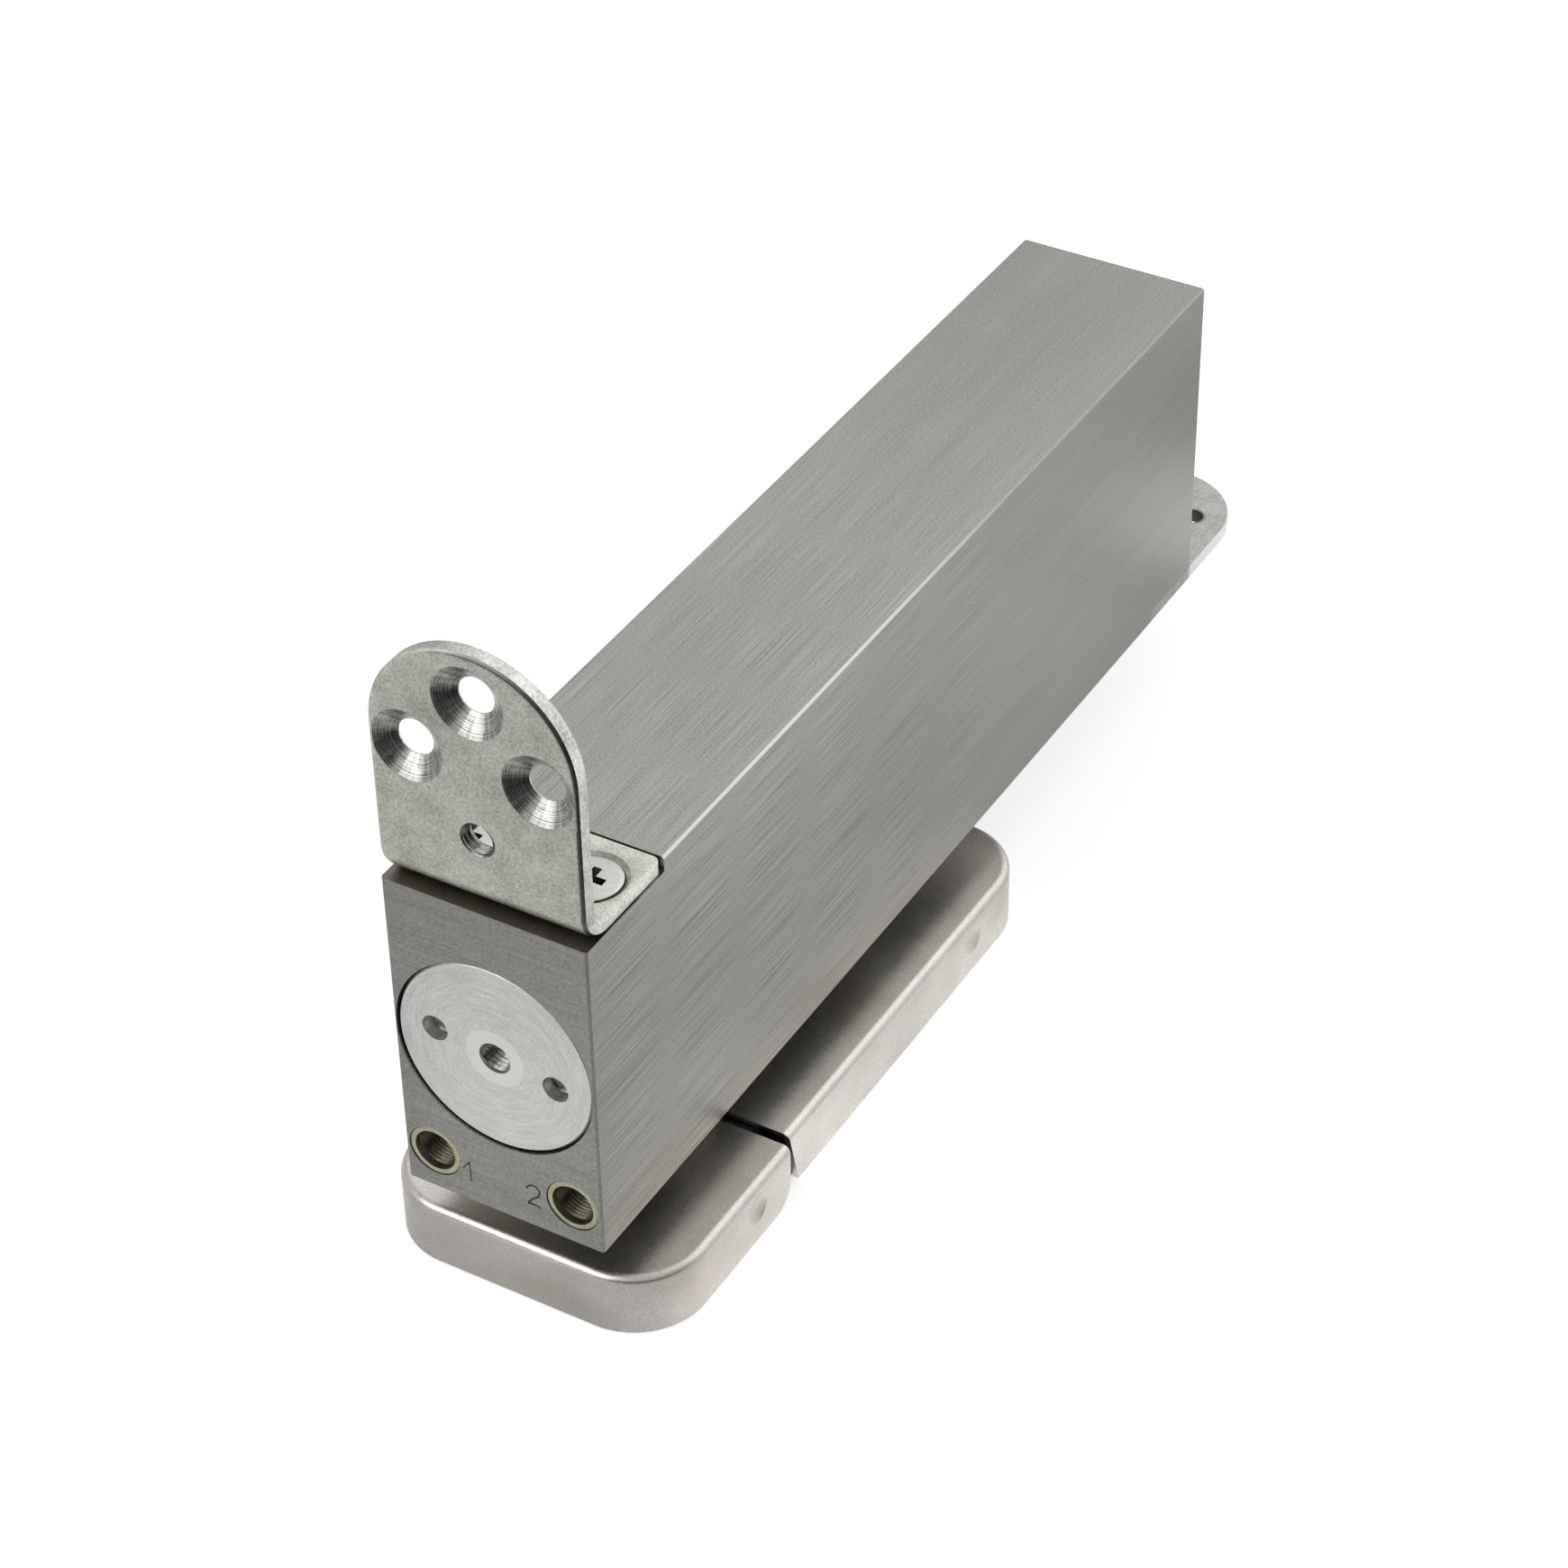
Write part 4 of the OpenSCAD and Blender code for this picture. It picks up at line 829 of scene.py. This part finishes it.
for number, side in enumerate((-1, 1), 1):
    drill_point(f"spanner_hole_point_{number}", side * SPANNER_R * math.cos(SPANNER_TILT),
                BORE_Z + side * SPANNER_R * math.sin(SPANNER_TILT),
                SPANNER_HOLE_R, SPANNER_HOLE_DEEP)
drill_point("cap_hole_point", 0, BORE_Z, CAP_HOLE_R, CAP_HOLE_DEEP)
thread.grow("cap_thread", "closer", "cap_aluminium", Turns=5.5, Crest=0.48 * MM,
            Place=(0, (CAP_Y + 0.5) * MM, BORE_Z * MM), Material=hole_shade_alloy)

# %% [markdown]
# ## The two valve sleeves
# Each speed valve sits in a sleeve with a pale yellow rim. The rim's outer edge is
# knurled, so that it bites in the block: dozens of equal teeth on a circle, which is again
# work for Geometry Nodes. One small box is placed on every point of a circle and turned to
# look outwards.
# %% Finish the sleeves
VALVE_X, VALVE_Z = 14, 28.6
SLEEVE_Y = corners("valve_1_sleeve")[0][1]
KNURL_Y, SLEEVE_THREAD_Y = SLEEVE_Y + 0.52, SLEEVE_Y + 1.2
yellow = mottled("yellow_passivated", (0.40, 0.405, 0.28), (0.66, 0.67, 0.48), 0.36).material
# The adjusters and the sleeves' threads get a very dark brass: painted shade inside the sleeves.
brass_in_shade = mottled("dull_brass", (0.042, 0.037, 0.025), (0.15, 0.13, 0.088), 0.30).material
# The knurl's teeth get a dark yellow: painted shade between the teeth.
tooth_shade_yellow = mottled("knurl_yellow", (0.12, 0.115, 0.07), (0.30, 0.29, 0.19), 0.4).material
paint(yellow, "valve_1_sleeve", "valve_2_sleeve")
paint(brass_in_shade, "valve_1_adjuster", "valve_2_adjuster")
knurl = Grower("knurl", Radius=5.03 * MM, Teeth=60, Tooth=(0.26 * MM, 0.28 * MM, 0.9 * MM),
               Place=(0.0, 0.0, 0.0), Material=tooth_shade_yellow)
circle = knurl.node("GeometryNodeCurvePrimitiveCircle",
                    {"Resolution": knurl.inputs["Teeth"], "Radius": knurl.inputs["Radius"]})
tooth = knurl.node("GeometryNodeMeshCube", {"Size": knurl.inputs["Tooth"]})
outwards = knurl.node("FunctionNodeAlignRotationToVector",
                      {"Vector": knurl.node("GeometryNodeInputPosition").outputs[0]}, axis="X")
placed = knurl.node("GeometryNodeInstanceOnPoints",
                    {"Points": circle.outputs[0], "Instance": tooth.outputs[0],
                     "Rotation": outwards.outputs[0]})
knurl.finish(placed.outputs[0])
for number, valve_x in ((1, -VALVE_X), (2, VALVE_X)):
    knurl.grow(f"valve_{number}_knurl", "closer", "sleeve_yellow",
               Place=(valve_x * MM, KNURL_Y * MM, VALVE_Z * MM))
    thread.grow(f"valve_{number}_thread", "closer", "sleeve_yellow", Radius=4.13 * MM, Turns=9.0,
                Pitch=0.75 * MM, Crest=0.36 * MM, Material=brass_in_shade,
                Place=(valve_x * MM, SLEEVE_THREAD_Y * MM, VALVE_Z * MM))

# %% [markdown]
# ## The two numbers
# The valves are told apart by a 1 and a 2, scratched into the block beside them. They are
# thin strokes with dark bottoms. Each stroke is a smooth path through a few points, and
# gets a ribbon as wide as the scriber's tip. The ribbon stands a few thousandths of a
# millimetre in front of the steel, so that it is seen without a cut in the block.
# %% Draw a smooth stroke
def smooth_path(points, steps=8):
    """A curve through all the points, by the rule of Catmull and Rom."""
    ends = [points[0], *points, points[-1]]
    path = []
    for a, b, c, d in zip(ends, ends[1:], ends[2:], ends[3:]):
        for k in range(steps):
            t = k / steps
            path.append(tuple(0.5 * (2 * q + (r - p) * t + (2 * p - 5 * q + 4 * r - s) * t * t
                                     + (3 * q - p - 3 * r + s) * t ** 3)
                              for p, q, r, s in zip(a, b, c, d)))
    return path + [points[-1]]


def scribed(name, strokes, half):
    """Ribbons on the block's front face along strokes of (x, z) points."""
    points, faces = [], []
    for path in strokes:
        start = len(points)
        for k, (x, z) in enumerate(path):
            a, b = path[max(k - 1, 0)], path[min(k + 1, len(path) - 1)]
            way = Vector((b[0] - a[0], b[1] - a[1])).normalized()
            thin = half * (0.55 if k in (0, len(path) - 1) else 1)
            for side in (thin, -thin):
                for y in (BLOCK_FRONT - 0.004, BLOCK_FRONT + 0.04):
                    points.append(Vector((x - way.y * side, y, z + way.x * side)) * MM)
        for k in range(len(path) - 1):
            p, q = start + 4 * k, start + 4 * k + 4
            faces += [(p, q, q + 2, p + 2), (p + 1, p + 3, q + 3, q + 1), (p, p + 1, q + 1, q),
                      (p + 2, q + 2, q + 3, p + 3)]
        p = start + 4 * (len(path) - 1)
        faces += [(start, start + 2, start + 3, start + 1), (p, p + 1, p + 3, p + 2)]
    add(name, solid(points, faces), "closer", "body_steel", scratch)


print("scriber ready")

# %% [markdown]
# ## Their strokes
# The points are (x, z) on the front face, right of the first valve and left of the second.
# The 1 has a short upstroke and a long one down. The 2 has a round head and a foot that was
# drawn apart, and it was scratched with a wider tip.
# %% Scratch the numbers
scratch = mottled("scratch_dark", (0.05, 0.047, 0.042), (0.14, 0.13, 0.12), 0.6).material
scribed("number_1", [smooth_path([(-8.3, 27.3), (-7.5, 28.3), (-6.85, 29.2)], 4),
                     smooth_path([(-6.82, 29.3), (-6.75, 27.2), (-6.72, 24.7)], 4)], 0.13)
scribed("number_2", [smooth_path([(4.7, 28.5), (5.35, 29.4), (6.5, 29.75), (7.4, 28.95),
                                  (7.1, 27.6), (5.9, 26.5), (4.9, 25.2)]),
                     smooth_path([(4.85, 25.15), (6.2, 25.35), (7.5, 25.0)], 4)], 0.21)

# %% [markdown]
# ## Satin stainless for the covers
# The two cover halves are pressed from thin stainless sheet and blasted to a soft warm
# grey. Blasting leaves no direction, only a very fine even grain, so the noise here is
# the same in all directions. Handling leaves faint darker clouds, and brownish patches
# are a painted warm reflection.
# %% Blast the covers
satin = Look("cover_stainless", Metallic=1.0)
satin_grain = satin.even(2400)
satin_clouds = satin.even(80, 3.0)
warm_reflection = satin.step(satin.noise(satin.stretched(38, 38, 60)), 0.52, 0.72)
satin_shade = satin.clamp(satin_grain.swing(1.8) + satin_clouds.swing(1.2) + 0.5)
satin.set(Base_Color=satin.tint((0.60, 0.578, 0.540), (0.86, 0.828, 0.775), satin_shade),
          Roughness=0.34 + satin_grain.swing(0.12) + satin_clouds.swing(0.12))
# Painted reflection: brownish patches stand for a warm reflection.
satin.cover((0.58, 0.50, 0.42), warm_reflection * 0.45)
satin.bump(satin_grain * 0.7 + satin_clouds * 0.5, 0.3, 0.00003)
paint(satin.material, "front_cover", "rear_cover")
print("covers ready")

# %% [markdown]
# ## The metals inside
# The pieces inside the block are seen when the model is opened or looked at from below.
# Each gets the metal it is made of in such a closer: ground steel for the spindle and
# the piston, polished bearing needles, oiled spring wire, bronze for the washer.
# %% Finish the pieces inside
dark_steel = mottled("dark_steel", (0.07, 0.07, 0.075), (0.15, 0.15, 0.155), 0.45).material
ground_steel = mottled("ground_steel", (0.46, 0.46, 0.455), (0.60, 0.60, 0.59), 0.26).material
polished = mottled("polished_steel", (0.62, 0.62, 0.62), (0.72, 0.72, 0.72), 0.14).material
bronze = mottled("sintered_bronze", (0.34, 0.20, 0.09), (0.48, 0.30, 0.13), 0.5).material
spring_wire = mottled("spring_wire", (0.15, 0.16, 0.175), (0.26, 0.27, 0.29), 0.34).material
paint(dark_steel, "floor_plate", "pivot_socket", "socket_screws", "clamp_screws")
paint(ground_steel, "spindle", "gland_nut", "spring_seat", "passage_plugs", "piston",
      "check_retainer")
paint(polished, "lower_bearing_cup", "lower_bearing_needles", "upper_bearing_cup",
      "upper_bearing_needles", "check_ball")
paint(screw_zinc, "tail_screws", "bracket_screws")
paint(bronze, "thrust_washer")
paint(spring_wire, "main_spring")
print("inner metals ready")

# %% [markdown]
# ## The seals
# Seals and O-rings are black rubber, which is dull and a little dusty. The piston's ring is
# a waxy white plastic. Neither is a metal, so their looks start without Metallic.
# %% Finish the seals
rubber = Look("rubber", Roughness=0.6)
dust = rubber.even(900, 3.0)
rubber.set(Base_Color=rubber.tint((0.012, 0.012, 0.013), (0.03, 0.03, 0.03), dust))
rubber.bump(dust, 0.2, 0.00003)
ring_white = Look("ring_white", Roughness=0.45)
wax = ring_white.even(500)
ring_white.set(Base_Color=ring_white.tint((0.62, 0.61, 0.57), (0.74, 0.73, 0.70), wax))
paint(rubber.material, "cap_seal", "spindle_seal", "valve_1_seal", "valve_2_seal")
paint(ring_white.material, "piston_seal")
print("seals ready")

# %% [markdown]
# ## Sheets for the stage
# The floor and a dark table are flat sheets of one face.
# %% Make stage sheets
def flat(name, outline, height, material):
    """A sheet of one face for the stage, which is no part of the closer."""
    mesh = bpy.data.meshes.new(name)
    mesh.from_pydata([(x, y, height) for x, y in outline], [], [tuple(range(len(outline)))])
    mesh.materials.append(material)
    made = bpy.data.objects.new(name, mesh)
    bpy.context.scene.collection.objects.link(made)


print("stage sheets can be made")

# %% [markdown]
# ## A floor with bright patches
# Metal shows what stands round it, so the room matters more than the lamps. The floor is
# grey for the light that falls on it and white for the camera. The real floor's brightness,
# as the metal mirrors it, changes from place to place. So there are soft ovals that only
# glossy rays see, a strip along the part's right side, and brighter floor further out to the
# right. Each oval has its middle (x, y), a factor that stretches it along y, the distances
# where it is full and where it ends, all in metres, and a strength.
# %% Lay the floor
FLOOR_Z, FLOOR_HALF = -0.0005, 6
WHITE = (1, 1, 1, 1)
PATCHES = {
    "mirrored by the middle of the side": (0.055, 0.115, 0.6, 0.03, 0.095, 0.27),
    "mirrored by the front face": (-0.014, -0.080, 1.0, 0.01, 0.045, 0.22),
    "at the block's front corner": (0.022, -0.057, 1.0, 0.005, 0.02, 0.1),
    "at the tail": (0.04, 0.235, 1.0, 0.01, 0.035, 0.5),
    "beside the tail": (0.065, 0.20, 1.0, 0.01, 0.055, 0.13),
    "at the front left": (-0.045, -0.11, 1.0, 0.01, 0.05, 0.12),
    "by the covers' seam": (0.037, -0.005, 0.5, 0.01, 0.04, 0.24),
    "by the rear cover": (0.047, 0.02, 0.5, 0.01, 0.03, 0.10),
}
floor = Look("floor_white", Base_Color=(0.62, 0.62, 0.62, 1), Roughness=0.9,
             Specular_IOR_Level=0.0)
floor_x, floor_y, _ = floor.axes()
strip = (floor.step(floor_x, 0.040, 0.035) * floor.step(floor_y, -0.05, -0.025)
         * floor.step(floor_y, 0.13, 0.07))
outside = floor.step(floor_x, 0.085, 0.13) * floor.step(floor_y, -0.05, 0.05)
mirrored = strip * 0.34 + outside * 0.7
for patch_x, patch_y, stretch, inner, outer, strength in PATCHES.values():
    off_x, off_y = floor_x - patch_x, floor_y - patch_y
    from_middle = floor.math("SQRT", off_x * off_x + off_y * off_y * stretch)
    mirrored = mirrored + floor.step(from_middle, outer, inner) * strength
floor.set(Emission_Color=WHITE,
          Emission_Strength=floor.ray("Camera") * 0.68 + floor.ray("Glossy") * mirrored)
square = [(-1, -1), (1, -1), (1, 1), (-1, 1)]
flat("floor", [(x * FLOOR_HALF, y * FLOOR_HALF) for x, y in square], FLOOR_Z, floor.material)
print("floor ready with", len(PATCHES), "patches")

# %% [markdown]
# ## A dark table
# In the photograph the front faces mirror something dark that lies before the part. Here
# that is a black sheet just above the floor. The camera must not see it in the white
# background, so it is white for the camera's own rays.
# %% Lay the dark table
TABLE_Z = -0.0003
TABLE_OUTLINE = [(0.05, -0.126), (0.21, -0.114), (1.6, -0.4), (1.4, -2.2), (-0.9, -2.2),
                 (-0.6, -0.55), (0.03, -0.40)]
table = Look("dark_table", Base_Color=(0.03, 0.03, 0.03, 1), Roughness=0.9, Specular_IOR_Level=0.0)
table.set(Emission_Color=WHITE, Emission_Strength=table.ray("Camera"))
flat("dark_table", TABLE_OUTLINE, TABLE_Z, table.material)
print("table ready")

# %% [markdown]
# ## The room
# In the photograph the sky side is bright and the side where the photographer stands is
# dark. The world is therefore an even grey, with a dark lobe low in front and three bright
# lobes above and behind, each a soft spot round a direction. The dot product with a direction
# is 1 in the middle of its lobe and falls off around it. The background is white because
# the camera's own rays see full white, not because the object gets more light.
# %% Surround it with a room
world = bpy.data.worlds.new("room")
bpy.context.scene.world = world
world.use_nodes = True
air = Wiring(world.node_tree)
sight = air.node("ShaderNodeTexCoord").outputs["Generated"]


def lobe(direction, start, stop):
    """1 round a direction and 0 far from it."""
    return air.step(air.dot(sight, Vector(direction).normalized()), start, stop)


dark = lobe((0.62, -0.78, 0), 0.2, 0.6) * (1 - lobe((0, 0, 1), 0.22, 0.45))
behind_above = lobe((0.05, 0.72, 0.69), 0.5, 0.95)
right_behind = lobe((0.45, 0.68, 0.58), 0.80, 0.97)
lower = lobe((0.61, 0.68, 0.40), 0.93, 0.99)
room_light = 0.55 * (1 - dark * 0.92) + behind_above * 0.37 + right_behind * 0.22 + lower * 0.2
seen = between(room_light, 1.0, air.ray("Camera"))
sky = air.node("ShaderNodeBackground", {"Color": WHITE, "Strength": seen})
air.node("ShaderNodeOutputWorld", {"Surface": sky.outputs[0]})
bpy.context.scene.view_settings.view_transform = "Standard"
print("room ready")

# %% [markdown]
# ## The lamps
# Two large lamps add what the room alone can't: a weak one high behind, and a stronger one
# at the front left, which lights the front faces. Large lamps give soft shadows, as a
# window does.
# %% Hang the lamps
AIM = Vector((0, 0.06, 0.05))


def lamp(name, place, size, power):
    """A rectangular lamp of so many metres and watts that looks at the closer."""
    light = bpy.data.lights.new(name, "AREA")
    light.shape, light.size, light.size_y = "RECTANGLE", size[0], size[1]
    light.energy = power
    made = bpy.data.objects.new(name, light)
    bpy.context.scene.collection.objects.link(made)
    towards = (AIM - Vector(place)).to_track_quat("-Z", "Y")
    made.matrix_world = Matrix.Translation(place) @ towards.to_matrix().to_4x4()


lamp("back", (-0.05, 1.25, 1.3), (1.3, 1.0), 0.9)
lamp("front_left", (-0.62, -1.12, 0.85), (1.2, 1.2), 7.5)
print("lamps ready")
